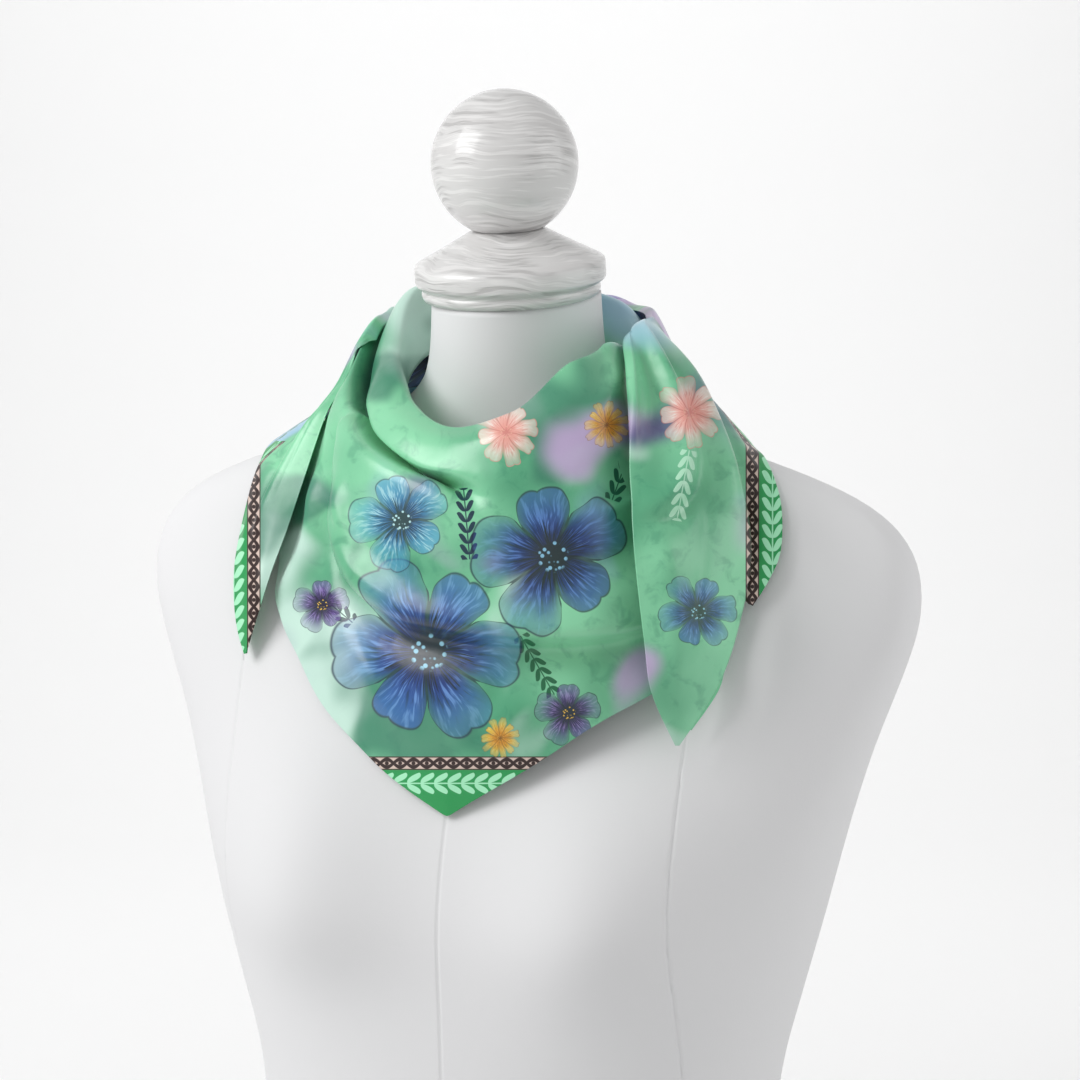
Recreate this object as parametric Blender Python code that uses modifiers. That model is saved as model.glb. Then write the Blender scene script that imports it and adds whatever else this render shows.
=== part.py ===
"""Silk square scarf, folded to a triangle and worn with its point in front, on a limbless dress form.

Metres, +Z up. The form faces -Y and stands on its flat base at Z = 0, with its centre line on X = 0.
The cloth is a thin wall everywhere. Round the neck it is lofted through sections, one for each azimuth:
0 degrees is the front, and +90 the wearer's left (+X). Its loose ends are lofted through sections down
their length. Each stretch is laid over what carries it before it is given its thickness.
"""

from math import cos, degrees, pi, radians, sin, tan

import bpy
import numpy as np
from mathutils import Vector
from mathutils.bvhtree import BVHTree

MM = 0.001

# Driving dimensions, in millimetres.
WALL = 2.0  # the cloth's wall
SEAM = 0.3  # gap between pieces that meet
TURNED_SEAM = 1.2  # and where the cloth also turns there, which brings the inner faces nearer
FORM_REST = 1.2  # room under a sheet that lies on the form, which also takes up the flats between its points
LAP_REST = 0.7  # and under one that lies on another sheet
LIP_ROLL = 4.0  # half width of the turned edge at the neckline
FOLD_TURN = (3.0, 4.0)  # how far in and down the cowl's lower fold turns under itself
NECK_AXIS_Y = -4.0  # the neck's axis, from the form's centre line
NECK_FOOT = 627.0
NECK_TOP = 716.0
NECK_TILT = 8.0  # degrees that the top of the neck leans to the front

BUST_SPAN = 90.0  # from the centre line to each side's fullest point
BUST_HEIGHT = 400.0
BUST_WIDTH = 53.0
BUST_DEPTH = 31.0
BUST_BELOW = 50.0
BUST_ABOVE = 80.0
BUST_FADE = 0.6  # how it dies away round the side

BALL_RADIUS = 39.5
BALL_FLAT = 19.0  # radius of the flat that it is seated on
CAP_TOP = 36.5

POINT_AZIMUTH = 1.0  # where the front's two hems meet
NAPE_ENDS = (102.0, 258.0)  # azimuths between which the wrap lies behind the neck
NAPE_MIDDLE = 105.0  # its middle distance from the neck's axis
FRONT_MIDDLE = 115.0  # the front's

FAR = 1000.0  # a reach with no end
LAP_REACH = 14.0  # how far past a lower layer's edge an upper one is still held off
EASE_ROUNDS = 10
PLAIN_ROUNDS = 4

# A lap fold steps within this share of its width, and dies away over this many widths.
LAP_STEP = 0.35
LAP_SPREAD = 1.8
# A fold keeps this share of its height at its ends, and rises over a quarter of its length.
FOLD_END = 0.25
FOLD_RISE = 4.0
# Folds start this far from a sheet's own edges: shares of its section or length, and degrees.
FRONT_EDGE = 0.12
NAPE_EDGE = 0.3
NAPE_END = 12.0
END_EDGE = 0.08

# Points of the meshes.
SIDES_FORM = 48
SIDES_TURNED = 32
BALL_STEPS = 14
COWL_TURNS = 48
COWL_STATIONS = 15
FRONT_RIGHT_TURNS = 25
FRONT_LEFT_TURNS = 15
FRONT_STATIONS = 19
NAPE_TURNS = 27
NAPE_STATIONS = 14

# The dress form's rings, from the base up.
FORM_COLUMNS = ("height", "half_width", "front", "back", "squareness")
FORM_RINGS = (
    (0, 168, 108, 106, 2.2),
    (8, 175, 114, 112, 2.2),
    (80, 182, 118, 120, 2.2),
    (150, 162, 112, 106, 2.2),
    (220, 148, 108, 88, 2.2),
    (280, 150, 112, 92, 2.2),
    (330, 161, 114, 102, 2.3),
    (380, 174, 114, 112, 2.3),
    (430, 186, 106, 118, 2.4),
    (480, 201, 90, 116, 2.4),
    (520, 216, 74, 108, 2.5),
    (552, 224, 62, 98, 2.6),
    (576, 223, 52, 88, 2.6),
    (597, 210, 46, 80, 2.5),
    (613, 185, 44, 73, 2.3),
    (627, 146, 44, 66, 2.1),
    (640, 102, 45, 59, 2.0),
    (653, 70, 47, 50, 2.0),
    (668, 54, 50, 42, 2.0),
    (688, 48, 53, 38, 2.0),
    (716, 46, 57, 35, 2.0),
)

# How many steps each gap between those rings takes: more over the bust, fewer where rings are close.
FORM_STEPS = (1, 2, 2, 2, 2, 2, 3, 3, 3, 2, 2, 1, 1, 1, 1, 1, 1, 1, 2, 2)

# The cap's turned profile, top to bottom: radius and height above the neck.
CAP_PROFILE = (
    (0, CAP_TOP), (19.5, CAP_TOP), (21.5, 35.4), (36, 27.4), (50.3, 19.8), (51.6, 18.2),
    (51.8, 9.5), (50.6, 7.2), (48.2, 4.2), (47.0, 0), (0, 0),
)

# The cowl, from its inside foot over the lip to the fold under its lower edge.
COWL_COLUMNS = (
    "azimuth", "foot_r", "foot_z", "lip_r", "lip_z",
    "belly_r", "belly_z", "fold_r", "fold_z", "tuck_r", "tuck_z",
)
COWL_SECTIONS = (
    (-180, 56, 688, 70, 719, 77, 712, 82, 698, 76, 692),
    (-110, 56, 684, 71, 719, 79, 712, 84, 698, 78, 691),
    (-69, 60, 664, 66, 686, 77, 678, 80, 664, 74, 660),
    (-45, 60, 645, 70, 673, 82, 663, 86, 647, 78, 643),
    (-25, 62, 634, 77, 659, 92, 651, 97, 637, 88, 634),
    (0, 70, 625, 88, 651, 103, 644, 109, 631, 99, 628),
    (20, 74, 628, 96, 659, 112, 651, 119, 634, 110, 631),
    (40, 70, 641, 91, 675, 110, 663, 121, 639, 113, 635),
    (53, 66, 650, 80, 689, 99, 675, 112, 645, 104, 640),
    (63, 62, 656, 73, 693, 88, 681, 100, 655, 93, 648),
    (80, 58, 666, 68, 689, 76, 682, 82, 668, 76, 662),
    (105, 56, 669, 66, 691, 73, 684, 77, 671, 71, 665),
    (125, 56, 676, 68, 700, 75, 693, 79, 680, 73, 674),
    (147, 56, 684, 69, 711, 76, 704, 80, 691, 74, 685),
    (180, 56, 688, 70, 719, 77, 712, 82, 698, 76, 692),
)

# The front: it leaves the cowl's fold and hangs to its two hems, which meet at the point. On the wearer's
# right it also climbs round the outside of the cowl, as a collar.
FRONT_COLUMNS = (
    "azimuth", "start_r", "start_z", "upper_r", "upper_z", "lower_r", "lower_z", "hem_r", "hem_z",
)
FRONT_SECTIONS = (
    (-100, 84, 701, 91, 692, 97, 675, 103, 659),
    (-86, 85, 697, 93, 684, 98, 664, 108, 644),
    (-73, 85, 692, 95, 674, 103, 646, 122, 618),
    (-62, 84, 684, 97, 656, 109, 598, 131, 547),
    (-52, 84, 654, 98, 628, 107, 578, 123, 521),
    (-42, 79, 639, 99, 612, 106, 562, 117, 500),
    (-26, 88, 632, 103, 604, 108, 545, 107, 476),
    (1, 100, 626, 115, 594, 113, 530, 104, 449),
    (27, 112, 630, 126, 598, 122, 540, 115, 482),
    (41, 113, 633, 132, 604, 132, 550, 127, 504),
    (53, 105, 638, 128, 612, 138, 560, 138, 520),
    (62, 95, 646, 121, 620, 138, 570, 143, 533),
)

# Folds of the front: a path of (azimuth, height) points, how wide and how high, and the kind.
FRONT_FOLDS = (
    {"kind": "lap", "width": 17, "height": 9,
     "path": ((-52, 645), (-49, 610), (-45, 585), (-34, 563), (-18, 550),
              (0, 546), (24, 546), (46, 550), (64, 566))},
    {"kind": "roll", "width": 9, "height": 7, "path": ((-66, 668), (-58, 630), (-54, 590), (-60, 552))},
    {"kind": "roll", "width": 11, "height": -9, "path": ((-72, 650), (-68, 612), (-67, 570))},
)

# The wrap behind the neck, which both loose ends leave from, and its folds.
NAPE_COLUMNS = (
    "azimuth", "inner_r", "inner_z", "crown_r", "crown_z",
    "outer_r", "outer_z", "side_r", "side_z", "hem_r", "hem_z",
)
NAPE_SECTIONS = (
    (102, 72, 693, 77, 692, 90, 678, 104, 660, 124, 641),
    (125, 75, 697, 81, 695, 96, 678, 104, 660, 110, 635),
    (147, 80, 704, 87, 702, 102, 680, 104, 652, 104, 618),
    (165, 85, 713, 91, 711, 104, 684, 104, 645, 98, 600),
    (180, 86, 713, 92, 712, 104, 684, 104, 640, 96, 590),
    (215, 86, 712, 92, 711, 106, 684, 108, 650, 106, 614),
    (235, 86, 711, 92, 709, 108, 686, 114, 658, 118, 628),
    (258, 88, 705, 93, 703, 105, 686, 112, 664, 136, 643),
)
NAPE_FOLDS = (
    {"kind": "lap", "width": 15, "height": 5, "path": ((138, 704), (160, 678), (190, 646), (212, 612))},
    {"kind": "roll", "width": 9, "height": 5, "path": ((112, 668), (128, 678), (146, 664))},
    {"kind": "roll", "width": 10, "height": 6, "path": ((252, 672), (232, 690), (205, 700))},
    {"kind": "roll", "width": 9, "height": 5, "path": ((248, 652), (226, 660), (208, 676))},
)

# The loose ends. Each starts at a stretch of the wrap's own end section. Down its length each row gives
# its inner and outer edge, and how far its middle stands out.
END_COLUMNS = ("inner_x", "inner_y", "inner_z", "outer_x", "outer_y", "outer_z", "belly")
RIGHT_WING = (
    (-97, -4, 686, -149, 6, 633, 4),
    (-99, -20, 670, -149, -12, 628, 5),
    (-99, -34, 655, -147, -26, 620, 5),
    (-103, -50, 634, -147, -38, 606, 6),
    (-107, -58, 611, -148, -48, 585, 6),
    (-111, -64, 589, -148, -56, 566, 5),
    (-118, -70, 566, -145, -63, 548, 3),
    (-123, -74, 547, -141, -67, 532, 2),
    (-132, -74, 521, -134, -73, 520, 0),
)
LEFT_TAIL = (
    (69, -28, 701, 84, 2, 691, 4),
    (82, -60, 680, 98, -8, 672, 7),
    (93, -87, 652, 112, -20, 650, 9),
    (102, -108, 620, 130, -36, 619, 10),
    (108, -119, 590, 144, -53, 589, 10),
    (113, -119, 550, 145, -65, 557, 8),
    (115, -113, 524, 139, -80, 525, 5),
    (123, -99, 495, 125, -98, 495, 0),
)
LEFT_UNDER_TAIL = (
    (131, -58, 576, 146, -54, 574, 0),
    (130, -64, 560, 146, -59, 560, 0),
    (129, -72, 540, 141, -68, 540, 0),
    (129, -79, 522, 139, -76, 521, 0),
    (130, -84, 507, 132, -83, 506, 0),
)
LEFT_REAR_WING = (
    (83, -2, 684, 126, 15, 640, 2),
    (93, -16, 664, 133, 6, 636, 3),
    (103, -28, 641, 142, -6, 632, 4),
    (114, -40, 617, 152, -22, 622, 4),
    (122, -48, 598, 159, -34, 608, 3),
    (130, -53, 583, 161, -43, 588, 2),
    (138, -56, 572, 157, -50, 574, 1),
    (148, -56, 562, 150, -55, 561, 0),
)

# Folds of the loose ends: paths of (place across, place down the length), both from 0 to 1.
TAIL_FOLDS = (
    {"kind": "roll", "width": 6, "height": 3, "path": ((0.08, 0.02), (0.07, 0.25), (0.06, 0.5))},
    {"kind": "roll", "width": 6, "height": -4, "path": ((0.36, 0.08), (0.34, 0.22), (0.46, 0.34))},
    {"kind": "roll", "width": 8, "height": 4, "path": ((0.5, 0.06), (0.56, 0.24), (0.66, 0.4), (0.55, 0.5))},
    {"kind": "roll", "width": 6, "height": -3, "path": ((0.84, 0.12), (0.86, 0.35), (0.84, 0.6))},
)
REAR_WING_FOLDS = (
    {"kind": "roll", "width": 6, "height": -3, "path": ((0.55, 0.2), (0.6, 0.5), (0.5, 0.85))},
)
RIGHT_WING_FOLDS = (
    {"kind": "roll", "width": 9, "height": 3, "path": ((0.45, 0.1), (0.4, 0.35), (0.45, 0.7))},
    {"kind": "roll", "width": 7, "height": -3, "path": ((0.72, 0.12), (0.68, 0.4), (0.66, 0.65))},
)

# Each end leaves the wrap at an azimuth, with how far back its line starts to turn, between two stations of
# the wrap's section. Its size across and down, in millimetres, scales its folds.
ENDS = {
    "right_wing": {
        "table": RIGHT_WING, "leaves": (NAPE_ENDS[1], -12, 0.0, 1.0), "outward": (-0.5, -0.6, 0.6),
        "rows": 20, "columns": 10, "folds": RIGHT_WING_FOLDS, "size": (55, 190),
    },
    "left_rear_wing": {
        "table": LEFT_REAR_WING, "leaves": (NAPE_ENDS[0], 12, 0.37, 1.0), "outward": (0.6, -0.5, 0.6),
        "rows": 16, "columns": 8, "folds": REAR_WING_FOLDS, "size": (45, 140),
    },
    "left_under_tail": {
        "table": LEFT_UNDER_TAIL, "outward": (0.5, -0.8, 0.2),
        "rows": 9, "columns": 4, "folds": (), "size": (14, 75),
    },
    "left_tail": {
        "table": LEFT_TAIL, "leaves": (NAPE_ENDS[0], 12, 0.0, 0.35), "outward": (0.7, -0.7, 0.2),
        "rows": 24, "columns": 13, "folds": TAIL_FOLDS, "size": (60, 230),
    },
}

SILK = (0.36, 0.80, 0.58)
SILK_BLUE = (0.10, 0.20, 0.55)
SILK_LAVENDER = (0.72, 0.66, 0.84)
FORM_WHITE = (0.86, 0.86, 0.87)
WASHED_WOOD = (0.80, 0.79, 0.78)


def clear_scene():
    for thing in list(bpy.data.objects):
        bpy.data.objects.remove(thing, do_unlink=True)


def finish(name, colour, roughness):
    """One plain material."""
    material = bpy.data.materials.new(name)
    material.use_nodes = True
    shader = material.node_tree.nodes["Principled BSDF"]
    shader.inputs["Base Color"].default_value = (*colour, 1.0)
    shader.inputs["Roughness"].default_value = roughness
    shader.inputs["Metallic"].default_value = 0.0
    return material


def column(columns, rows, name):
    place = columns.index(name)
    return np.array([row[place] for row in rows], float)


def smooth(stations, values, at):
    """A curve through the values that never swings past them, with slopes from their neighbours."""
    stations = np.asarray(stations, float)
    values = np.asarray(values, float)
    at = np.clip(np.asarray(at, float), stations[0], stations[-1])
    steps = np.diff(stations)
    rises = np.diff(values) / steps
    slopes = np.zeros(len(values))
    slopes[0] = rises[0]
    slopes[-1] = rises[-1]
    same_way = rises[:-1] * rises[1:] > 0
    both = np.where(same_way, rises[:-1] + rises[1:], 1.0)
    slopes[1:-1] = np.where(same_way, 2 * rises[:-1] * rises[1:] / both, 0.0)
    span = np.clip(np.searchsorted(stations, at, side="right") - 1, 0, len(steps) - 1)
    step = steps[span]
    part = (at - stations[span]) / step
    return (
        values[span] * (2 * part**3 - 3 * part**2 + 1)
        + slopes[span] * step * (part**3 - 2 * part**2 + part)
        + values[span + 1] * (3 * part**2 - 2 * part**3)
        + slopes[span + 1] * step * (part**3 - part**2)
    )


def through(points, at):
    """A rounded curve through a few points, each an array, at places from 0 to 1 along it."""
    points = [np.asarray(point, float) for point in points]
    place = at * (len(points) - 1)
    first = min(int(place), len(points) - 2)
    part = place - first
    before = points[max(first - 1, 0)]
    start = points[first]
    end = points[first + 1]
    after = points[min(first + 2, len(points) - 1)]
    return 0.5 * (
        2 * start
        + (end - before) * part
        + (2 * before - 5 * start + 4 * end - after) * part**2
        + (3 * start - 3 * end + after - before) * part**3
    )


def round_neck(azimuth, radius, height):
    """A point by its azimuth in degrees, its distance from the neck's axis and its height."""
    turn = radians(azimuth)
    return Vector((radius * sin(turn), NECK_AXIS_Y - radius * cos(turn), height))


def form_point(ring, turn):
    """A point of the form's surface: ring counts FORM_RINGS, turn goes round from +X."""
    counts = range(len(FORM_RINGS))
    height, half_width, front, back, squareness = (
        float(smooth(counts, column(FORM_COLUMNS, FORM_RINGS, name), ring)) for name in FORM_COLUMNS
    )
    across = cos(turn)
    along = sin(turn)
    power = 2 / squareness
    x = half_width * np.sign(across) * abs(across) ** power
    y = (back if along > 0 else -front) * abs(along) ** power
    if along < 0:
        reach = BUST_BELOW if height < BUST_HEIGHT else BUST_ABOVE
        rise = np.exp(-(((height - BUST_HEIGHT) / reach) ** 2))
        sides = sum(np.exp(-(((x - side * BUST_SPAN) / BUST_WIDTH) ** 2)) for side in (-1, 1))
        y -= BUST_DEPTH * rise * sides * (-y / front) ** BUST_FADE
    lean = smooth((NECK_FOOT, NECK_TOP), (0, 1), height) * tan(radians(NECK_TILT))
    return Vector((x, y, height + float(lean) * (y - NECK_AXIS_Y)))


def add_object(name, points, faces, collection, material):
    """A mesh object from points in millimetres."""
    mesh = bpy.data.meshes.new(name)
    mesh.from_pydata([tuple(point * MM) for point in points], [], faces)
    mesh.materials.append(material)
    for polygon in mesh.polygons:
        polygon.use_smooth = True
    thing = bpy.data.objects.new(name, mesh)
    collection.objects.link(thing)
    return thing


def grid_faces(rows, columns, closed=False):
    """Quads over a grid of points kept row by row. A closed grid's last column meets its first."""
    faces = []
    for row in range(rows - 1):
        for place in range(columns if closed else columns - 1):
            beside = (place + 1) % columns
            low = row * columns
            high = low + columns
            faces.append((low + place, low + beside, high + beside, high + place))
    return faces


def build_torso(collection, material):
    """The form's body with its neck, as one closed loft with a flat base."""
    rings = [ring + step / steps for ring, steps in enumerate(FORM_STEPS) for step in range(steps)]
    rings.append(len(FORM_STEPS))
    count = len(rings)
    points = [form_point(ring, 2 * pi * side / SIDES_FORM) for ring in rings for side in range(SIDES_FORM)]
    faces = grid_faces(count, SIDES_FORM, closed=True)
    faces.append(tuple(reversed(range(SIDES_FORM))))
    top = (count - 1) * SIDES_FORM
    faces.append(tuple(range(top, top + SIDES_FORM)))
    return add_object("form_torso", points, faces, collection, material)


def turned(name, profile, collection, material, lift):
    """A turned piece over the middle of the neck's leaning top, lifted along its axis."""
    mesh = bpy.data.meshes.new(name)
    points = [(radius * MM, 0, height * MM) for radius, height in profile]
    mesh.from_pydata(points, [(n, n + 1) for n in range(len(points) - 1)], [])
    mesh.materials.append(material)
    thing = bpy.data.objects.new(name, mesh)
    collection.objects.link(thing)
    screw = thing.modifiers.new("turn", "SCREW")
    screw.axis = "Z"
    screw.angle = 2 * pi
    screw.steps = SIDES_TURNED
    screw.render_steps = SIDES_TURNED
    screw.use_merge_vertices = True
    screw.merge_threshold = 0.00001
    screw.use_smooth_shade = True
    lean = radians(NECK_TILT)
    thing.rotation_euler = (lean, 0, 0)
    _, _, front, back, _ = FORM_RINGS[-1]
    centre_y = (back - front) / 2
    centre_z = NECK_TOP + tan(lean) * (centre_y - NECK_AXIS_Y)
    thing.location = Vector((0, centre_y - lift * sin(lean), centre_z + lift * cos(lean))) * MM
    return thing


def build_cap(collection, material):
    return turned("form_neck_cap", CAP_PROFILE, collection, material, SEAM)


def build_ball(collection, material):
    start = np.arcsin(BALL_FLAT / BALL_RADIUS)
    centre = BALL_RADIUS * cos(start)
    profile = [(0, centre + BALL_RADIUS)]
    for step in range(1, BALL_STEPS + 1):
        angle = step / BALL_STEPS * (pi - start)
        profile.append((BALL_RADIUS * sin(angle), centre + BALL_RADIUS * cos(angle)))
    profile.append((0, 0))
    return turned("form_ball_finial", profile, collection, material, CAP_TOP + 2 * SEAM)


def surface_tree(points, faces):
    return BVHTree.FromPolygons([tuple(point) for point in points], faces)


def laid_over(points, columns, layers):
    """The sheet's points, eased out until they clear every layer under it: (tree, rest, reach past its edge).

    Neighbours share each push, so that the sheet bridges what lies under it, and the last rounds push each
    point by itself.
    """
    points = [point.copy() for point in points]
    shape = (len(points) // columns, columns, 3)
    for turn in range(EASE_ROUNDS + PLAIN_ROUNDS):
        for tree, rest, reach in layers:
            gap = WALL + rest
            pushes = np.zeros((len(points), 3))
            for number, point in enumerate(points):
                place, normal, _, _ = tree.find_nearest(point)
                out = (point - place).dot(normal)
                aside = (point - place - normal * out).length
                if out < gap and aside < reach:
                    pushes[number] = normal * (gap - out) * (1 - (aside / reach) ** 2)
            if turn < EASE_ROUNDS:
                grid = np.pad(pushes.reshape(shape), ((1, 1), (1, 1), (0, 0)), mode="edge")
                near = (grid[:-2, 1:-1] + grid[2:, 1:-1] + grid[1:-1, :-2] + grid[1:-1, 2:]) / 4
                pushes = (0.5 * pushes.reshape(shape) + 0.5 * near).reshape(-1, 3)
            for number, push in enumerate(pushes):
                points[number] += Vector(push)
    return points


def folded(folds, scale, across, along):
    """How far the folds move the cloth out at a place of a sheet. The scale gives millimetres for a unit."""
    scale = np.array(scale)
    here = np.array([across, along]) * scale
    out = 0.0
    for fold in folds:
        path = np.array(fold["path"]) * scale
        nearest = FAR
        side = 1.0
        end_fade = 1.0
        for number in range(len(path) - 1):
            start = path[number]
            run = path[number + 1] - start
            part = np.clip(np.dot(here - start, run) / np.dot(run, run), 0, 1)
            offset = here - start - part * run
            distance = np.hypot(*offset)
            if distance < nearest:
                nearest = distance
                side = np.sign(run[0] * offset[1] - run[1] * offset[0])
                place = (number + part) / (len(path) - 1)
                end_fade = min(1.0, FOLD_RISE * min(place, 1 - place) + FOLD_END)
        share = nearest / fold["width"]
        if fold["kind"] == "roll":
            out += fold["height"] * end_fade * np.exp(-(share**2))
        else:
            step = side * np.tanh(share / LAP_STEP) * np.exp(-((share / LAP_SPREAD) ** 2))
            out += fold["height"] * end_fade * step
    return out


def cowl_section(azimuth):
    """The cowl's control points at an azimuth, foot to tuck, as (radius, height)."""
    turns = column(COWL_COLUMNS, COWL_SECTIONS, "azimuth")
    value = {}
    for name in COWL_COLUMNS[1:]:
        value[name] = float(smooth(turns, column(COWL_COLUMNS, COWL_SECTIONS, name), azimuth))
    foot = (value["foot_r"], value["foot_z"])
    lip_in = (value["lip_r"] - LIP_ROLL, value["lip_z"] - LIP_ROLL)
    lip = (value["lip_r"], value["lip_z"])
    lip_out = (value["lip_r"] + LIP_ROLL, value["lip_z"] - 0.5 * LIP_ROLL)
    belly = (value["belly_r"], value["belly_z"])
    fold = (value["fold_r"], value["fold_z"])
    under = (value["fold_r"] - FOLD_TURN[0], value["fold_z"] - FOLD_TURN[1])
    tuck = (value["tuck_r"], value["tuck_z"])
    return foot, lip_in, lip, lip_out, belly, fold, under, tuck


def cowl_points(turns, stations):
    points = []
    for azimuth in turns:
        section = cowl_section(azimuth)
        for station in stations:
            radius, height = through(section, station)
            points.append(round_neck(azimuth, radius, height))
    return points


def sheet(name, points, rows, columns, collection, material, closed=False, flip=False):
    """An open sheet of cloth, given its wall on the side away from its face."""
    faces = grid_faces(rows, columns)
    if closed:
        faces = grid_faces(rows + 1, columns)
        count = rows * columns
        faces = [tuple(corner % count for corner in face) for face in faces]
    if flip:
        faces = [tuple(reversed(face)) for face in faces]
    thing = add_object(name, points, faces, collection, material)
    thick = thing.modifiers.new("wall", "SOLIDIFY")
    thick.thickness = WALL * MM
    thick.offset = -1.0
    thick.use_even_offset = False
    thick.use_rim = True
    return faces


def build_cowl(collection, material, layers):
    turns = np.linspace(-180, 180, COWL_TURNS, endpoint=False)
    stations = np.linspace(0, 1, COWL_STATIONS)
    points = laid_over(cowl_points(turns, stations), len(stations), layers)
    faces = sheet("scarf_cowl", points, len(turns), len(stations), collection, material, closed=True)
    return surface_tree(points, faces)


def section_value(columns, sections, name, azimuth):
    """A value of a table at an azimuth. The front's hem turns sharply at its point: each side is one curve."""
    turns = column(columns, sections, "azimuth")
    values = column(columns, sections, name)
    if name == "hem_z" and POINT_AZIMUTH in turns:
        side = turns <= POINT_AZIMUTH if azimuth <= POINT_AZIMUTH else turns >= POINT_AZIMUTH
        turns = turns[side]
        values = values[side]
    return float(smooth(turns, values, azimuth))


def section(columns, sections, azimuth):
    """The (radius, height) points of a table's section at an azimuth, from its named columns."""
    names = columns[1:]
    values = [section_value(columns, sections, name, azimuth) for name in names]
    return list(zip(values[::2], values[1::2]))


def front_points(turns, stations):
    points = []
    for azimuth in turns:
        cut = section(FRONT_COLUMNS, FRONT_SECTIONS, azimuth)
        for station in stations:
            radius, height = through(cut, station)
            fade = min(1.0, station / FRONT_EDGE)
            out = folded(FRONT_FOLDS, (radians(FRONT_MIDDLE), 1), azimuth, height) * fade
            points.append(round_neck(azimuth, radius + out, height))
    return points


def build_front(collection, material, layers):
    first = FRONT_SECTIONS[0][0]
    last = FRONT_SECTIONS[-1][0]
    right = np.linspace(first, POINT_AZIMUTH, FRONT_RIGHT_TURNS)
    left = np.linspace(POINT_AZIMUTH, last, FRONT_LEFT_TURNS)
    turns = np.concatenate([right, left[1:]])
    stations = np.linspace(0, 1, FRONT_STATIONS)
    points = laid_over(front_points(turns, stations), len(stations), layers)
    faces = sheet("scarf_front", points, len(turns), len(stations), collection, material)
    return surface_tree(points, faces)


def nape_point(azimuth, station):
    """A point of the wrap behind the neck, before its folds."""
    return through(section(NAPE_COLUMNS, NAPE_SECTIONS, azimuth), station)


def nape_points(turns, stations):
    points = []
    for azimuth in turns:
        for station in stations:
            radius, height = nape_point(azimuth, station)
            fade = min(1.0, (azimuth - turns[0]) / NAPE_END, (turns[-1] - azimuth) / NAPE_END)
            fade *= min(1.0, station / NAPE_EDGE)
            out = folded(NAPE_FOLDS, (radians(NAPE_MIDDLE), 1), azimuth, height) * fade
            points.append(round_neck(azimuth, radius + out, height))
    return points


def build_nape(collection, material, layers):
    seam = degrees(TURNED_SEAM / NAPE_MIDDLE)
    turns = np.linspace(NAPE_ENDS[0] + seam, NAPE_ENDS[1] - seam, NAPE_TURNS)
    stations = np.linspace(0, 1, NAPE_STATIONS)
    points = laid_over(nape_points(turns, stations), len(stations), layers)
    faces = sheet("scarf_nape_wrap", points, len(turns), len(stations), collection, material)
    return surface_tree(points, faces)


def end_points(end):
    """A loose end. Its lines down the length start on the wrap's end section and run on through the table."""
    table = end["table"]
    edges = {name: column(END_COLUMNS, table, name) for name in END_COLUMNS}
    places = np.linspace(0, 1, end["columns"])
    outward = np.array(end["outward"])
    lines = []
    for place in places:
        line = []
        if "leaves" in end:
            azimuth, back, first, last = end["leaves"]
            station = first + (last - first) * place
            for turn in (azimuth + back, azimuth):
                line.append(np.array(round_neck(turn, *nape_point(turn, station))))
        for row in range(len(table)):
            inner = np.array([edges["inner_" + axis][row] for axis in "xyz"])
            outer = np.array([edges["outer_" + axis][row] for axis in "xyz"])
            line.append(inner + (outer - inner) * place + outward * edges["belly"][row] * sin(pi * place))
        lines.append(line)
    begins = 1 / (len(lines[0]) - 1) if "leaves" in end else 0.0
    points = []
    for down in np.linspace(0, 1, end["rows"]):
        for place, line in zip(places, lines):
            point = through(line, begins + (1 - begins) * down)
            fade = min(1.0, down / END_EDGE, (1 - down) / END_EDGE)
            out = folded(end["folds"], end["size"], place, down) * fade
            points.append(Vector(point + outward * out))
    return points


def build_end(name, end, collection, material, layers):
    points = laid_over(end_points(end), end["columns"], layers)
    faces = sheet(name, points, end["rows"], end["columns"], collection, material, flip=end["outward"][0] > 0)
    return surface_tree(points, faces)


def build():
    clear_scene()
    collection = bpy.data.collections.new("silk_scarf_on_dress_form")
    bpy.context.scene.collection.children.link(collection)
    white = finish("form_white_matte", FORM_WHITE, 0.55)
    wood = finish("white_washed_wood", WASHED_WOOD, 0.3)
    green = finish("silk_satin_green", SILK, 0.35)
    blue = finish("silk_satin_blue", SILK_BLUE, 0.35)
    lavender = finish("silk_satin_lavender", SILK_LAVENDER, 0.35)

    torso = build_torso(collection, white)
    build_cap(collection, wood)
    build_ball(collection, wood)
    form_tree = surface_tree(
        [Vector(vertex.co) / MM for vertex in torso.data.vertices],
        [tuple(polygon.vertices) for polygon in torso.data.polygons],
    )
    below = [(form_tree, FORM_REST, FAR)]
    cowl = build_cowl(collection, green, below)
    below.append((cowl, LAP_REST, LAP_REACH))
    front = build_front(collection, blue, below)
    below.append((front, LAP_REST, LAP_REACH))
    build_nape(collection, lavender, below)
    build_end("scarf_right_wing", ENDS["right_wing"], collection, lavender, below)
    for name in ("left_rear_wing", "left_under_tail", "left_tail"):
        upper = build_end("scarf_" + name, ENDS[name], collection, green, below)
        below.append((upper, LAP_REST, LAP_REACH))


build()
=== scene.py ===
"""The looks of a silk square scarf, folded to a triangle and worn with its point in front.

It lies on a limbless dress form with a turned, white-washed wooden cap and ball.

Metres, +Z up. The form faces -Y, and +X is the wearer's left. Tables of the cloth are in millimetres.
"""

from math import cos, pi, radians, sin

import bpy
import numpy as np
from bpy.props import FloatProperty, FloatVectorProperty, PointerProperty
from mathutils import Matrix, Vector
from mathutils.bvhtree import BVHTree


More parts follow.
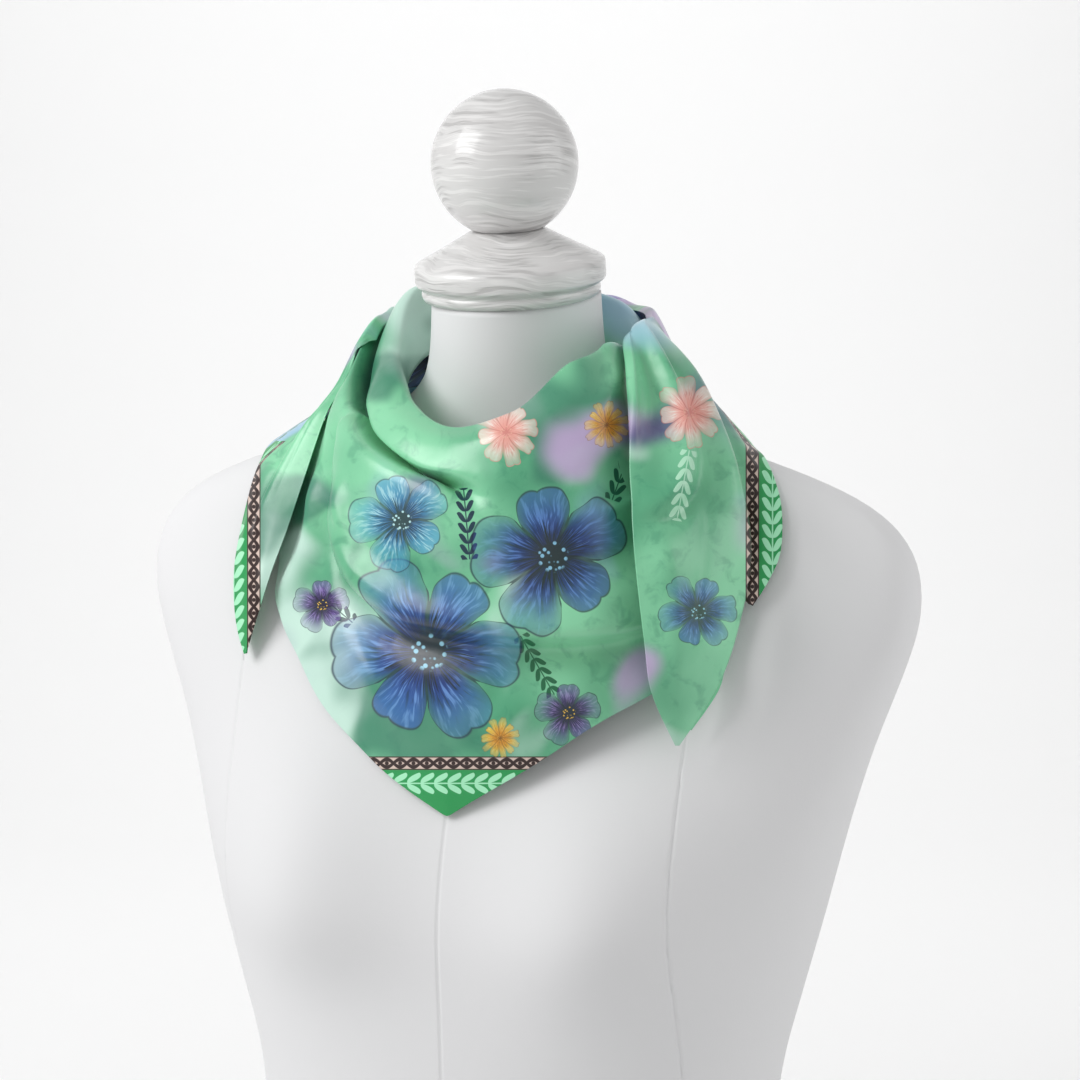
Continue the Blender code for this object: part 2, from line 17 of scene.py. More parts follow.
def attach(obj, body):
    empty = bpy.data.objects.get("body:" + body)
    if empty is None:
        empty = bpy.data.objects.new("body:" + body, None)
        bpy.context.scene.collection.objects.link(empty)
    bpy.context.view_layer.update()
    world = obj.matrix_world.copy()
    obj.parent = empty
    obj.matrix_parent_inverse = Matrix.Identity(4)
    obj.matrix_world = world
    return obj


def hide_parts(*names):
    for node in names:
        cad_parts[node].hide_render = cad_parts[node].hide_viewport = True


bl_info = {
    "name": "Silk scarf on a dress form",
    "version": (1, 0, 0),
    "blender": (4, 5, 0),
    "location": "3D View > Sidebar > Scarf",
    "description": "Builds a worn silk square, the dress form that carries it, and a plain studio",
    "category": "Object",
}

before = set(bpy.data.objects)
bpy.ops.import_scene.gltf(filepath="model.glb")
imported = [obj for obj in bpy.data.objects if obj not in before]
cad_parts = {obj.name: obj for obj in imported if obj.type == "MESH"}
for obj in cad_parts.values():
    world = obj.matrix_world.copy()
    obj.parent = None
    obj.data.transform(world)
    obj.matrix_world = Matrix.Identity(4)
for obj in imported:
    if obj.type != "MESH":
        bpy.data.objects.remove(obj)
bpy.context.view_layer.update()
BODY = "root"
MM = 0.001

# ---- Sizes of the cloth, in millimetres ----
CLOTH = 0.5  # satin, drawn a little thick so that its edge shows
HEM = 1.2  # the rolled hem
HEM_WIDTH = 2.4
HEM_CORE = 0.6  # the share of it that is at its full thickness
FORM_REST = 1.6  # room under a sheet that lies on the form
LAP_REST = 1.3  # and under one that lies on another sheet
LIP_ROLL = 4.0  # half width of the turned edge at the neckline
FOLD_TURN = (3.0, 4.0)  # how far in and down the cowl's lower fold turns under itself
NECK_AXIS_Y = -4.0
POINT_AZIMUTH = 1.0  # where the front's two hems meet
NAPE_ENDS = (102.0, 258.0)  # azimuths between which the wrap lies behind the neck
NAPE_MIDDLE = 105.0  # its middle distance from the neck's axis
FRONT_MIDDLE = 115.0  # the front's
COWL_MIDDLE = 90.0  # the cowl's
SPLIT = 0.36  # where the wrap's section parts into the tail and the layer behind it

FRONT_SPAN = (-100.0, 62.0)  # azimuths of the front
JOIN_FROM = (-54.0, -42.0)  # where the front's top comes down to the cowl's lower edge, and joins it
PLEAT_OPENS = (-3.0, 17.0)  # where the fold under the cowl opens out
# Once it is open, its fold, turn, tuck and the front's crest lie at these shares of the way down to the
# front, the first two a little out.
OPEN_SHARES = (0.27, 0.44, 0.6, 0.8)
OPEN_SWELL = (1, 0)
OVER_COWL_ENDS = (JOIN_FROM[0] - 8, JOIN_FROM[1] - 2)  # up to where the front lies over the cowl
DRAWN_SHARE = 0.12  # of the front's length, drawn in to the cowl's edge where they are joined
FRONT_ENDS = (62.0, 76.0)  # past the front, the cowl's fold closes again

# The turned pieces, which lean back with the neck's top.
LEAN = 8.0
NECK_TOP = 716.0
NECK_MIDDLE_Y = -11.0
JOINT = 0.3  # between the neck and the cap, and between the cap and the ball
CAP_HEIGHT = 36.5
CAP_PROFILE = (
    (0, 36.5), (19.2, 36.5), (20.6, 36.1), (22.4, 35.0), (28, 31.8), (36, 27.4), (44, 23.2), (50.0, 20.0),
    (51.3, 18.9), (51.8, 17.4), (51.8, 10.6), (51.5, 9.2), (50.7, 8.1), (49.3, 7.2), (48.3, 6.5), (48.0, 5.6),
    (48.4, 4.8), (48.6, 3.6), (48.2, 2.0), (47.3, 0.4), (46.6, 0), (0, 0),
)
BALL_RADIUS = 39.5
BALL_FLAT = 19.0  # radius of its seat
TURNED_STEPS = 160
# The body's seams: across from the middle. Their grooves fade out under the scarf, between two heights.
SEAMS = (-138.0, 0.0, 122.0)
SEAM_FADES = (600.0, 650.0)
SEAM_CUTS = (-2.2, -1.0, 0.0, 1.0, 2.2)  # in half widths
FLAT_FACE = 0.97  # how upright a face's normal is on the body's base and top
TOP_RIM = 0.7  # above this height, in metres, a flat face's edge is the neck's top rim

FAR = 1000.0
LAP_REACH = 14.0  # how far past a lower layer's edge an upper one is still held off
EASE_ROUNDS = 9
PLAIN_ROUNDS = 2
SHARE_PASSES = 3  # how far neighbours share a push
SETTLE_PASSES = 3  # how much the laid sheet settles at the end

# A lap fold steps within this share of its width, and dies away over this many widths.
LAP_STEP = 0.35
LAP_SPREAD = 1.8
PINCH_FALL = 1.6  # how fast a pinch falls off, in its widths
# A fold keeps this share of its height at its ends, a lap some more, and rises over a quarter of its length.
FOLD_END = 0.1
LAP_END = 0.15
FOLD_RISE = 3.6
FOLD_STEPS = 6  # for each corner of a fold's path
# Folds start this far from a sheet's own edges: shares of its section or length, and degrees.
NAPE_EDGE = 0.3
NAPE_END = 12.0
END_EDGE = 0.08

COWL_COLUMNS = (
    "azimuth", "foot_r", "foot_z", "lip_r", "lip_z",
    "belly_r", "belly_z", "fold_r", "fold_z", "tuck_r", "tuck_z",
)
COWL_SECTIONS = (
    (-180, 56, 688, 70, 719, 77, 712, 82, 698, 76, 692),
    (-110, 56, 684, 71, 719, 79, 712, 84, 698, 78, 691),
    (-69, 60, 664, 66, 688, 75, 682, 80, 669, 71, 658),
    (-45, 60, 645, 69, 677, 80, 670, 86, 657, 71, 641),
    (-25, 62, 634, 76, 662, 90, 656, 97, 645, 76, 630),
    (0, 70, 622, 88, 651, 103, 645, 110, 633, 92, 620),
    (20, 74, 628, 96, 660, 112, 651, 119, 634, 108, 630),
    (40, 70, 641, 91, 685, 109, 669, 121, 639, 112, 635),
    (53, 66, 650, 80, 689, 99, 675, 112, 645, 104, 640),
    (63, 62, 656, 73, 693, 88, 681, 100, 655, 93, 648),
    (80, 58, 666, 68, 689, 76, 682, 82, 668, 76, 662),
    (105, 56, 669, 66, 691, 73, 684, 77, 671, 71, 665),
    (125, 56, 676, 68, 700, 75, 693, 79, 680, 73, 674),
    (147, 56, 684, 69, 711, 76, 704, 80, 691, 74, 685),
    (180, 56, 688, 70, 719, 77, 712, 82, 698, 76, 692),
)

FRONT_COLUMNS = (
    "azimuth", "inner_r", "inner_z", "crest_r", "crest_z",
    "upper_r", "upper_z", "lower_r", "lower_z", "hem_r", "hem_z",
)
FRONT_SECTIONS = (
    (-100, 83, 684, 88, 700, 90, 692, 93, 672, 103, 655),
    (-86, 82, 666, 88, 689, 91, 681, 95, 660, 118, 630),
    (-73, 79, 650, 90, 675, 96, 662, 110, 641, 130, 604),
    (-62, 76, 642, 92, 665, 103, 650, 112, 602, 131, 547),
    (-52, 73, 638, 95, 657, 103, 638, 108, 576, 123, 521),
    (-42, 71, 636, 98, 651, 106, 628, 107, 562, 117, 500),
    (-26, 76, 626, 106, 640, 112, 616, 109, 545, 107, 476),
    (1, 92, 620, 113, 625, 118, 602, 113, 530, 104, 449),
    (27, 111, 632, 119, 618, 126, 598, 122, 540, 115, 482),
    (41, 113, 635, 123, 622, 132, 604, 132, 550, 127, 504),
    (53, 104, 640, 117, 630, 129, 612, 138, 560, 138, 520),
    (62, 94, 647, 108, 638, 121, 620, 138, 570, 143, 533),
)

NAPE_COLUMNS = (
    "azimuth", "inner_r", "inner_z", "crown_r", "crown_z",
    "outer_r", "outer_z", "side_r", "side_z", "hem_r", "hem_z",
)
NAPE_SECTIONS = (
    (102, 70, 700, 75, 703, 87, 684, 103, 663, 124, 641),
    (125, 72, 705, 78, 707, 90, 684, 100, 661, 110, 635),
    (147, 78, 706, 86, 706, 99, 680, 104, 652, 104, 618),
    (165, 83, 711, 90, 711, 104, 684, 104, 645, 98, 600),
    (180, 83, 711, 90, 711, 104, 684, 104, 640, 96, 590),
    (215, 83, 709, 90, 710, 105, 684, 108, 650, 106, 614),
    (235, 83, 706, 90, 708, 103, 686, 111, 658, 118, 628),
    (258, 83, 700, 90, 703, 101, 686, 108, 662, 136, 643),
)

END_COLUMNS = (
    "inner_x", "inner_y", "inner_z", "crest_x", "crest_y", "crest_z",
    "corner_x", "corner_y", "corner_z", "outer_x", "outer_y", "outer_z",
)
RIGHT_WING = (
    (-80, -5, 690, -88, -3, 700, -92, 0, 668, -149, 6, 633),
    (-86, -13, 688, -92, -13, 688, -97, -13, 662, -149, -12, 628),
    (-93, -22, 672, -98, -22, 668, -104, -23, 652, -147, -26, 620),
    (-95, -32, 661, -102, -33, 657, -110, -33, 642, -147, -32, 614),
    (-98, -42, 649, -106, -43, 646, -117, -42, 632, -147, -38, 606),
    (-105, -57, 613, -117, -58, 609, -129, -57, 602, -148, -48, 585),
    (-111, -64, 589, -121, -65, 587, -131, -63, 581, -148, -56, 566),
    (-118, -70, 566, -125, -71, 564, -133, -69, 559, -145, -63, 548),
    (-123, -74, 547, -128, -74, 545, -133, -72, 541, -141, -67, 532),
    (-132, -74, 521, -132.5, -74, 520.7, -133, -73.5, 520.4, -134, -73, 520),
)
LEFT_TAIL = (
    (70, -29, 695, 76, -24, 702, 81, -13, 699, 87, 0, 690),
    (82, -61, 681, 90, -50, 684, 99, -36, 682, 106, -13, 676),
    (93, -87, 652, 103, -75, 655, 114, -57, 655, 122, -28, 654),
    (102, -108, 620, 115, -98, 622, 129, -77, 623, 139, -45, 623),
    (108, -119, 590, 122, -112, 592, 138, -94, 593, 151, -62, 592),
    (113, -119, 550, 124, -115, 552, 138, -101, 554, 148, -69, 557),
    (115, -113, 524, 123, -109, 525, 132, -101, 525, 141, -83, 525),
    (123, -99, 495, 123.5, -98.8, 495, 124.2, -98.5, 495, 125, -98, 495),
)
LEFT_UNDER_TAIL = (
    (131, -58, 576, 136, -57, 575, 141, -56, 574.5, 146, -54, 574),
    (130, -64, 560, 135, -63, 560, 141, -61, 560, 146, -59, 560),
    (129, -72, 540, 133, -71, 540, 137, -70, 540, 141, -68, 540),
    (129, -79, 522, 132, -78, 522, 136, -77, 521, 139, -76, 521),
    (126, -87, 501, 126.5, -87, 501, 127, -86.5, 501, 127.5, -86, 500.5),
)
LEFT_REAR_WING = (
    (83, -2, 684, 98, 5, 672, 111, 11, 657, 126, 15, 640),
    (93, -16, 664, 107, -8, 658, 120, -1, 648, 133, 6, 636),
    (103, -28, 641, 116, -21, 642, 130, -14, 638, 142, -6, 632),
    (114, -40, 617, 127, -34, 622, 141, -28, 624, 152, -22, 622),
    (122, -48, 598, 134, -44, 603, 148, -40, 607, 159, -34, 608),
    (130, -53, 583, 140, -51, 586, 152, -48, 588, 161, -43, 588),
    (138, -56, 572, 144, -55, 573, 151, -53, 574, 157, -50, 574),
    (148, -56, 562, 148.6, -56, 562, 149.3, -55.5, 561.5, 150, -55, 561),
)

# Folds: kind, width, height and path. A roll stands out or sinks in, a lap is a step, and a pinch is a sharp
# crease. The cowl's, the front's and the wrap's paths are (azimuth, height), and the loose ends' (across, down).
COWL_FOLDS = (
    ("roll", 7, -2.2, ((66, 682), (60, 668), (54, 650), (44, 641))),
    ("roll", 6, 1.8, ((58, 686), (50, 672), (40, 655))),
    ("pinch", 5, -1.6, ((52, 684), (42, 668), (30, 652))),
    ("roll", 8, 1.6, ((-58, 676), (-44, 658), (-26, 646), (-6, 640))),
    ("pinch", 5, -1.3, ((-62, 668), (-48, 652), (-34, 641))),
    ("roll", 9, -1.2, ((-10, 646), (8, 642), (26, 646))),
)
FRONT_FOLDS = (
    ("lap", 12, 12,
     ((-45, 640), (-41, 612), (-38, 592), (-29, 568), (-14, 553), (2, 548), (24, 546), (46, 550), (64, 566))),
    ("roll", 7, 7, ((-63, 624), (-59, 600), (-58, 574), (-64, 546))),
    ("roll", 7, -12, ((-54, 644), (-49, 616), (-47, 590), (-38, 562), (-22, 544))),
    ("roll", 7, -4, ((-78, 650), (-74, 612), (-72, 580))),
    ("roll", 8, 5, ((-34, 626), (-31, 604), (-24, 582), (-10, 566))),
    ("pinch", 6, -2.6, ((-40, 634), (-36, 610), (-26, 588), (-12, 574))),
    ("roll", 9, 1.6, ((-26, 628), (-14, 600), (0, 580), (16, 570))),
    ("pinch", 7, -1.4, ((56, 612), (44, 590), (28, 572), (10, 560))),
    ("roll", 8, 1.6, ((62, 596), (50, 576), (34, 562))),
    ("roll", 8, 1.8, ((-48, 548), (-34, 530), (-18, 508), (-6, 486))),
    ("pinch", 6, -1.2, ((-40, 552), (-26, 528), (-12, 500))),
    ("roll", 8, 1.4, ((48, 540), (32, 522), (16, 500), (6, 476))),
    ("roll", 6, -1.2, ((20, 536), (14, 510), (8, 484))),
)
NAPE_FOLDS = (
    ("lap", 15, 5, ((138, 704), (160, 678), (190, 646), (212, 612))),
    ("roll", 9, 5, ((112, 668), (128, 678), (146, 664))),
    ("roll", 10, 6, ((252, 672), (232, 690), (205, 700))),
    ("roll", 9, 5, ((248, 652), (226, 660), (208, 676))),
    ("pinch", 6, -2.0, ((250, 662), (236, 674), (214, 688), (190, 696))),
    ("pinch", 6, -1.8, ((116, 660), (136, 652), (158, 634))),
    ("roll", 8, 2.0, ((240, 640), (220, 640), (200, 626))),
    ("pinch", 5, -1.6, ((108, 680), (126, 688), (148, 688))),
    ("roll", 7, 1.6, ((128, 644), (150, 628), (172, 606))),
)
TAIL_FOLDS = (
    ("roll", 4.5, 6, ((0.06, 0.03), (0.09, 0.14), (0.1, 0.28), (0.07, 0.42))),
    ("roll", 6, 9,
     ((0.34, 0.02), (0.42, 0.12), (0.52, 0.23), (0.62, 0.33), (0.58, 0.44), (0.38, 0.5), (0.12, 0.5))),
    ("pinch", 5, -6,
     ((0.46, 0.03), (0.54, 0.12), (0.65, 0.23), (0.74, 0.34), (0.68, 0.48), (0.42, 0.55), (0.12, 0.54))),
    ("roll", 6, 7, ((0.78, 0.03), (0.86, 0.22), (0.93, 0.42), (0.9, 0.6))),
    ("roll", 5, -4, ((0.3, 0.2), (0.38, 0.32), (0.3, 0.42))),
    ("pinch", 6, -3, ((0.72, 0.46), (0.66, 0.6), (0.56, 0.76))),
    ("roll", 7, 2.4, ((0.3, 0.56), (0.4, 0.72), (0.46, 0.9))),
)
REAR_WING_FOLDS = (
    ("roll", 6, -3, ((0.55, 0.2), (0.6, 0.5), (0.5, 0.85))),
    ("pinch", 5, -1.4, ((0.8, 0.1), (0.84, 0.4), (0.8, 0.7))),
    ("roll", 5, 1.4, ((0.34, 0.1), (0.4, 0.4), (0.36, 0.7))),
)
RIGHT_WING_FOLDS = (
    ("roll", 9, 3, ((0.45, 0.1), (0.4, 0.35), (0.45, 0.7))),
    ("roll", 7, -3, ((0.72, 0.12), (0.68, 0.4), (0.66, 0.65))),
    ("pinch", 5, -1.5, ((0.22, 0.06), (0.24, 0.3), (0.3, 0.6))),
    ("roll", 6, 1.4, ((0.86, 0.2), (0.84, 0.5), (0.74, 0.8))),
)

# Each end leaves the wrap at an azimuth, with how far back its line starts to turn, between two stations of
# the wrap's section. Its size across and down, in millimetres, scales its folds.
ENDS = {
    "right_wing": {
        "table": RIGHT_WING, "folded_over": True, "folds": RIGHT_WING_FOLDS, "size": (55, 190),
        "rows": 120, "leaves": (NAPE_ENDS[1], -12, 0.0, 1.0), "outward": (-0.5, -0.6, 0.6),
    },
    "left_rear_wing": {
        "table": LEFT_REAR_WING, "folded_over": False, "folds": REAR_WING_FOLDS, "size": (45, 140),
        "rows": 96, "leaves": (NAPE_ENDS[0], 12, SPLIT, 1.0), "outward": (0.6, -0.5, 0.6),
    },
    "left_under_tail": {
        "table": LEFT_UNDER_TAIL, "folded_over": False, "folds": (), "size": (14, 75), "rows": 60,
        "outward": (0.5, -0.8, 0.2),
    },
    "left_tail": {
        "table": LEFT_TAIL, "folded_over": False, "folds": TAIL_FOLDS, "size": (60, 230), "rows": 150,
        "leaves": (NAPE_ENDS[0], 12, 0.0, SPLIT), "outward": (0.7, -0.7, 0.2),
    },
}

# Points of the meshes.
COWL_BACK_RIGHT_TURNS = 64
COWL_BACK_LEFT_TURNS = 92
COWL_STEPS = (8, 4, 4, 7, 8, 5, 5)  # between one control point and the next
FRONT_RIGHT_TURNS = 112
FRONT_LEFT_TURNS = 76
FRONT_STEPS = (8, 8, 32, 42)
HEM_STEPS = np.array([0.66, 0.36, 0.16, 0.0])  # places of the last points, in steps from the hem
NAPE_TURNS = 150
NAPE_UPPER_STATIONS = 38
NAPE_LOWER_STATIONS = 46
UNDER_TAIL_COLUMNS = 14
TURNED_OVER = [0, 3, 2, 1]  # a quad's corners the other way round, from the same one

# ---- The print: a plain design of flowers and sprigs, in millimetres across and up from its middle ----
# Watery washes over the ground, where clouds of noise leave them: colour, share, size of a cloud, and the
# level of the noise that each starts from.
WASHES = (
    ("#dcf5ec", 0.75, 90, 0.54),
    ("#2f7a62", 0.75, 75, 0.54),
    ("#a6cdec", 0.85, 105, 0.56),
    ("#cdb2de", 0.85, 100, 0.58),
    ("#5b2c88", 0.85, 120, 0.63),
)
WASH_SOFTNESS = 0.1
WASH_SLICE = 0.35  # how far apart the washes lie in the noise, in metres
# Round the back, where the print's two ends meet, one plain colour covers it between two distances.
BACK_TINT = "#82bccb"
BACK_FADE = (0.19, 0.27)
ROYAL = ("#3560b4", "#13236c", "#74a0e6", "#0a0e2c", "#9ad6ee")
NAVY = ("#2c4ba2", "#0e1a58", "#5f86d6", "#090c26", "#8cc6e6")
CYAN = ("#4fa9cf", "#17508f", "#b8e8f4", "#0b1838", "#bfeaf2")
PEACH = ("#fbe3d8", "#f0a598", "#fff6ef", "#d9857d", "#f7cfae")
VIOLET = ("#5b3a8e", "#2c1650", "#a58fd0", "#180c30", "#f0c040")
YELLOW = ("#f6c832", "#d98e12", "#fde388", "#8f5a08", "#f7dc6a")
# Flowers in two layers: centre, radius, turn in degrees, petals, colours of tip, base, vein, line and stamen,
# how dark the heart is, and how well the flower covers. Those of one layer don't touch.
BLOSSOM_LAYERS = (
    (
        ((-62, -62), 58, 30, 6, ROYAL, 1.0, 0.95),
        ((83, 71), 21, 15, 8, PEACH, 0.4, 0.95),
        ((88, -40), 24, 20, 6, ROYAL, 1.0, 0.85),
        ((16, -96), 20, 15, 5, VIOLET, 1.0, 0.95),
        ((-19, 60), 20, 10, 8, PEACH, 0.4, 0.95),
        ((203, 117), 39, 10, 6, ROYAL, 1.0, 0.9),
        ((247, 50), 29, 0, 8, PEACH, 0.4, 0.9),
        ((-264, 104), 28, 40, 6, NAVY, 1.0, 0.9),
    ),
    (
        ((7, -9), 48, 5, 5, NAVY, 1.0, 0.95),
        ((-77, 11), 31, 0, 5, CYAN, 1.0, 0.9),
        ((37, 64), 14, 0, 11, YELLOW, 0.3, 0.95),
        ((-22, -110), 12, 0, 11, YELLOW, 0.3, 0.95),
        ((-121, -36), 17, 15, 5, VIOLET, 1.0, 0.95),
        ((172, 56), 28, 30, 5, CYAN, 1.0, 0.9),
        ((-238, 52), 19, 10, 5, CYAN, 1.0, 0.9),
    ),
)
# Sprigs: foot, turn in degrees, pitch, half width and length in millimetres, and colour.
SPRIGS = (
    ((-11, -53), 300, 6.0, 5.0, 38, "#1f6b45"),
    ((-104, -46), 140, 6.0, 5.0, 26, "#1b4a4a"),
    ((-39, -11), 95, 6.0, 5.0, 40, "#1b3a4a"),
    ((40, 22), 70, 7.0, 5.0, 30, "#1d5a44"),
    ((83, 50), 260, 7.0, 5.0, 40, "#b4e8c8"),
    ((189, 89), 200, 7.0, 6.0, 40, "#2f7f5c"),
    ((-217, 78), 320, 7.0, 6.0, 40, "#2f7f5c"),
)
# Borders: where, the way they run, the side that the green edge is on, and from where to where.
BORDER_HALF = 0.0038
BORDER_PITCH = 0.0074
BORDER_SPRIG = (0.0112, 0.0075, 0.0060)  # the leaves' distance from the border, pitch and half width
EDGE_BAND = 0.034
BORDERS = (
    (-0.159, "up", -1, -0.075, 0.055),
    (0.118, "up", 1, -0.06, 0.075),
    (-0.124, "across", -1, -0.12, 0.04),
)

# ---- The view, which also lays the print: its frame stands upright seen from here ----
VIEW_AZIMUTH = 21.0
VIEW_ELEVATION = 8.0
VIEW_DISTANCE = 1.35
VIEW_TARGET = (0.0091, 0.0080, 0.5797)
PRINT_TURN = 60.0  # degrees from the view within which the print lies flat, before it wraps round
WRAP_FADE = 0.35  # the share of a loose end over which its print goes from wrapped to flat
BACK_TURN = 150.0  # degrees past which a face may lie where the print's two ends meet
BACK_AWAY = 0.1  # and how far from its middle, in metres


def view_axes():
    """The view's right, up and back directions."""
    turn = radians(VIEW_AZIMUTH)
    rise = radians(VIEW_ELEVATION)
    right = np.array([cos(turn), sin(turn), 0.0])
    back = np.array([sin(turn) * cos(rise), -cos(turn) * cos(rise), sin(rise)])
    return right, np.cross(back, right), back


# ---- Curves and sheets ----


def column(columns, rows, name):
    place = columns.index(name)
    return np.array([row[place] for row in rows], float)


def smooth(stations, values, at):
    """A curve through the values that never swings past them, with slopes from their neighbours."""
    stations = np.asarray(stations, float)
    values = np.asarray(values, float)
    at = np.clip(np.asarray(at, float), stations[0], stations[-1])
    steps = np.diff(stations)
    rises = np.diff(values) / steps
    slopes = np.zeros(len(values))
    slopes[0] = rises[0]
    slopes[-1] = rises[-1]
    same_way = rises[:-1] * rises[1:] > 0
    both = np.where(same_way, rises[:-1] + rises[1:], 1.0)
    slopes[1:-1] = np.where(same_way, 2 * rises[:-1] * rises[1:] / both, 0.0)
    span = np.clip(np.searchsorted(stations, at, side="right") - 1, 0, len(steps) - 1)
    step = steps[span]
    part = (at - stations[span]) / step
    return (
        values[span] * (2 * part**3 - 3 * part**2 + 1)
        + slopes[span] * step * (part**3 - 2 * part**2 + part)
        + values[span + 1] * (3 * part**2 - 2 * part**3)
        + slopes[span + 1] * step * (part**3 - part**2)
    )


def through(points, at):
    """A rounded curve through points, whose first axis counts them, at places from 0 to 1 along it."""
    points = np.asarray(points, float)
    place = np.asarray(at, float) * (len(points) - 1)
    first = np.clip(place.astype(int), 0, len(points) - 2)
    part = (place - first).reshape(first.shape + (1,) * (points.ndim - 1))
    before = points[np.maximum(first - 1, 0)]
    start = points[first]
    end = points[first + 1]
    after = points[np.minimum(first + 2, len(points) - 1)]
    return 0.5 * (
        2 * start
        + (end - before) * part
        + (2 * before - 5 * start + 4 * end - after) * part**2
        + (3 * start - 3 * end + after - before) * part**3
    )


def ramp(value, low, high):
    """0 below low and 1 above high, with soft ends."""
    share = np.clip((np.asarray(value, float) - low) / (high - low), 0, 1)
    return share * share * (3 - 2 * share)


def round_neck(azimuth, radius, height):
    """Points by their azimuth in degrees, their distance from the neck's axis and their height."""
    turn = np.radians(azimuth)
    return np.stack([radius * np.sin(turn), NECK_AXIS_Y - radius * np.cos(turn), height], -1)


def folded(folds, scale, across, along):
    """How far the folds move the cloth out. The scale gives millimetres for a unit each way."""
    here = np.stack([across, along], -1) * scale
    out = np.zeros(across.shape)
    for kind, width, height, corners in folds:
        path = through(np.array(corners) * scale, np.linspace(0, 1, FOLD_STEPS * len(corners)))
        nearest = np.full(across.shape, FAR)
        side = np.ones(across.shape)
        place = np.zeros(across.shape)
        for number in range(len(path) - 1):
            run = path[number + 1] - path[number]
            offset = here - path[number]
            part = np.clip(offset @ run / (run @ run), 0, 1)
            offset = offset - part[..., None] * run
            distance = np.hypot(offset[..., 0], offset[..., 1])
            closer = distance < nearest
            nearest = np.where(closer, distance, nearest)
            side = np.where(closer, np.sign(run[0] * offset[..., 1] - run[1] * offset[..., 0]), side)
            place = np.where(closer, (number + part) / (len(path) - 1), place)
        end_fade = np.minimum(1.0, FOLD_RISE * np.minimum(place, 1 - place) + FOLD_END)
        share = nearest / width
        if kind == "lap":
            end_fade = np.minimum(1.0, end_fade + LAP_END)
            shape = side * np.tanh(share / LAP_STEP) * np.exp(-((share / LAP_SPREAD) ** 2))
        elif kind == "pinch":
            shape = np.exp(-PINCH_FALL * share)
        else:
            shape = np.exp(-(share**2))
        out += height * end_fade * shape
    return out


def quads(index):
    """Quads between neighbours in a grid of point numbers."""
    return np.stack([index[:-1, :-1], index[:-1, 1:], index[1:, 1:], index[1:, :-1]], -1).reshape(-1, 4)


def grid_faces(rows, columns, closed=False):
    """Quads over a grid of points kept row by row. A closed grid's last row meets its first."""
    index = np.arange(rows * columns).reshape(rows, columns)
    return quads(np.concatenate([index, index[:1]]) if closed else index)


def surface_tree(grid, flip=False, closed=False):
    """A tree of a grid of points, to find what is nearest."""
    rows, columns = grid.shape[:2]
    faces = grid_faces(rows, columns, closed)
    if flip:
        faces = faces[:, ::-1]
    return BVHTree.FromPolygons(grid.reshape(-1, 3).tolist(), faces.tolist())


def laid_over(grid, layers, closed=False, pinned=0):
    """A grid of points, eased out until it clears every layer under it: (tree, rest, reach past its edge,
    weight of each row or 1).

    Neighbours share each push, so that the sheet bridges what lies under it, and the last rounds push each
    point by itself. The pinned first rows stay.
    """
    grid = grid.copy()
    rows = np.arange(len(grid))
    free = ramp(rows, pinned - 1, pinned + 6)[:, None, None] if pinned else 1.0
    for turn in range(EASE_ROUNDS + PLAIN_ROUNDS):
        for tree, rest, reach, weight in layers:
            gap = CLOTH + rest
            pushes = np.zeros(grid.shape)
            flat = pushes.reshape(-1, 3)
            for number, point in enumerate(grid.reshape(-1, 3)):
                place, normal, _, distance = tree.find_nearest(point)
                if distance > gap + reach:
                    continue
                offset = Vector(point) - place
                out = offset.dot(normal)
                aside = (offset - normal * out).length
                if out < gap and aside < reach:
                    flat[number] = normal * ((gap - out) * (1 - (aside / reach) ** 2))
            pushes *= np.broadcast_to(weight, rows.shape)[:, None, None]
            if turn < EASE_ROUNDS:
                pushes = relaxed(pushes, SHARE_PASSES, 0.5, closed)
            grid += pushes * free
    return grid + (relaxed(grid, SETTLE_PASSES, 0.5, closed) - grid) * free


def relaxed(grid, rounds, share, closed=False):
    """The grid with each point drawn towards its neighbours, along the edges towards those on the edge."""
    grid = grid.copy()
    for _ in range(rounds):
        around = np.concatenate([grid[-1:], grid, grid[:1]]) if closed else np.pad(
            grid, ((1, 1), (0, 0), (0, 0)), mode="reflect", reflect_type="odd"
        )
        along = (around[:-2] + around[2:]) / 2
        across = np.pad(grid, ((0, 0), (1, 1), (0, 0)), mode="reflect", reflect_type="odd")
        across = (across[:, :-2] + across[:, 2:]) / 2
        grid += share * ((along + across) / 2 - grid)
    return grid


def print_place(points, wrap):
    """Where each point lies on the print, in metres from its middle: flat as seen from the view, and wrapped
    round the neck where wrap is 1."""
    right, up, back = view_axes()
    offset = points * MM - np.array(VIEW_TARGET)
    scale = VIEW_DISTANCE / (VIEW_DISTANCE - offset @ back)
    flat_across = (offset @ right) * scale
    from_axis = points - np.array([0.0, NECK_AXIS_Y, 0.0])
    radius = np.hypot(from_axis[..., 0], from_axis[..., 1]) * MM
    turn = np.arctan2(from_axis[..., 0], -from_axis[..., 1]) - radians(VIEW_AZIMUTH)
    turn = (turn + pi) % (2 * pi) - pi
    limit = radians(PRINT_TURN)
    beyond = np.maximum(np.abs(turn) - limit, 0)
    round_it = np.sign(turn) * radius * (np.sin(np.minimum(np.abs(turn), limit)) + beyond)
    axis_across = (np.array([0.0, NECK_AXIS_Y * MM, 0.0]) - np.array(VIEW_TARGET)) @ right
    across = flat_across + ((axis_across + round_it) * scale - flat_across) * wrap
    return np.stack([across, (offset @ up) * scale], -1), turn


# ---- Blender helpers ----


def deselect_all():
    if bpy.context.object and bpy.context.object.mode != "OBJECT":
        bpy.ops.object.mode_set(mode="OBJECT")
    bpy.ops.object.select_all(action="DESELECT")


def make_active(piece):
    deselect_all()
    piece.select_set(True)
    bpy.context.view_layer.objects.active = piece


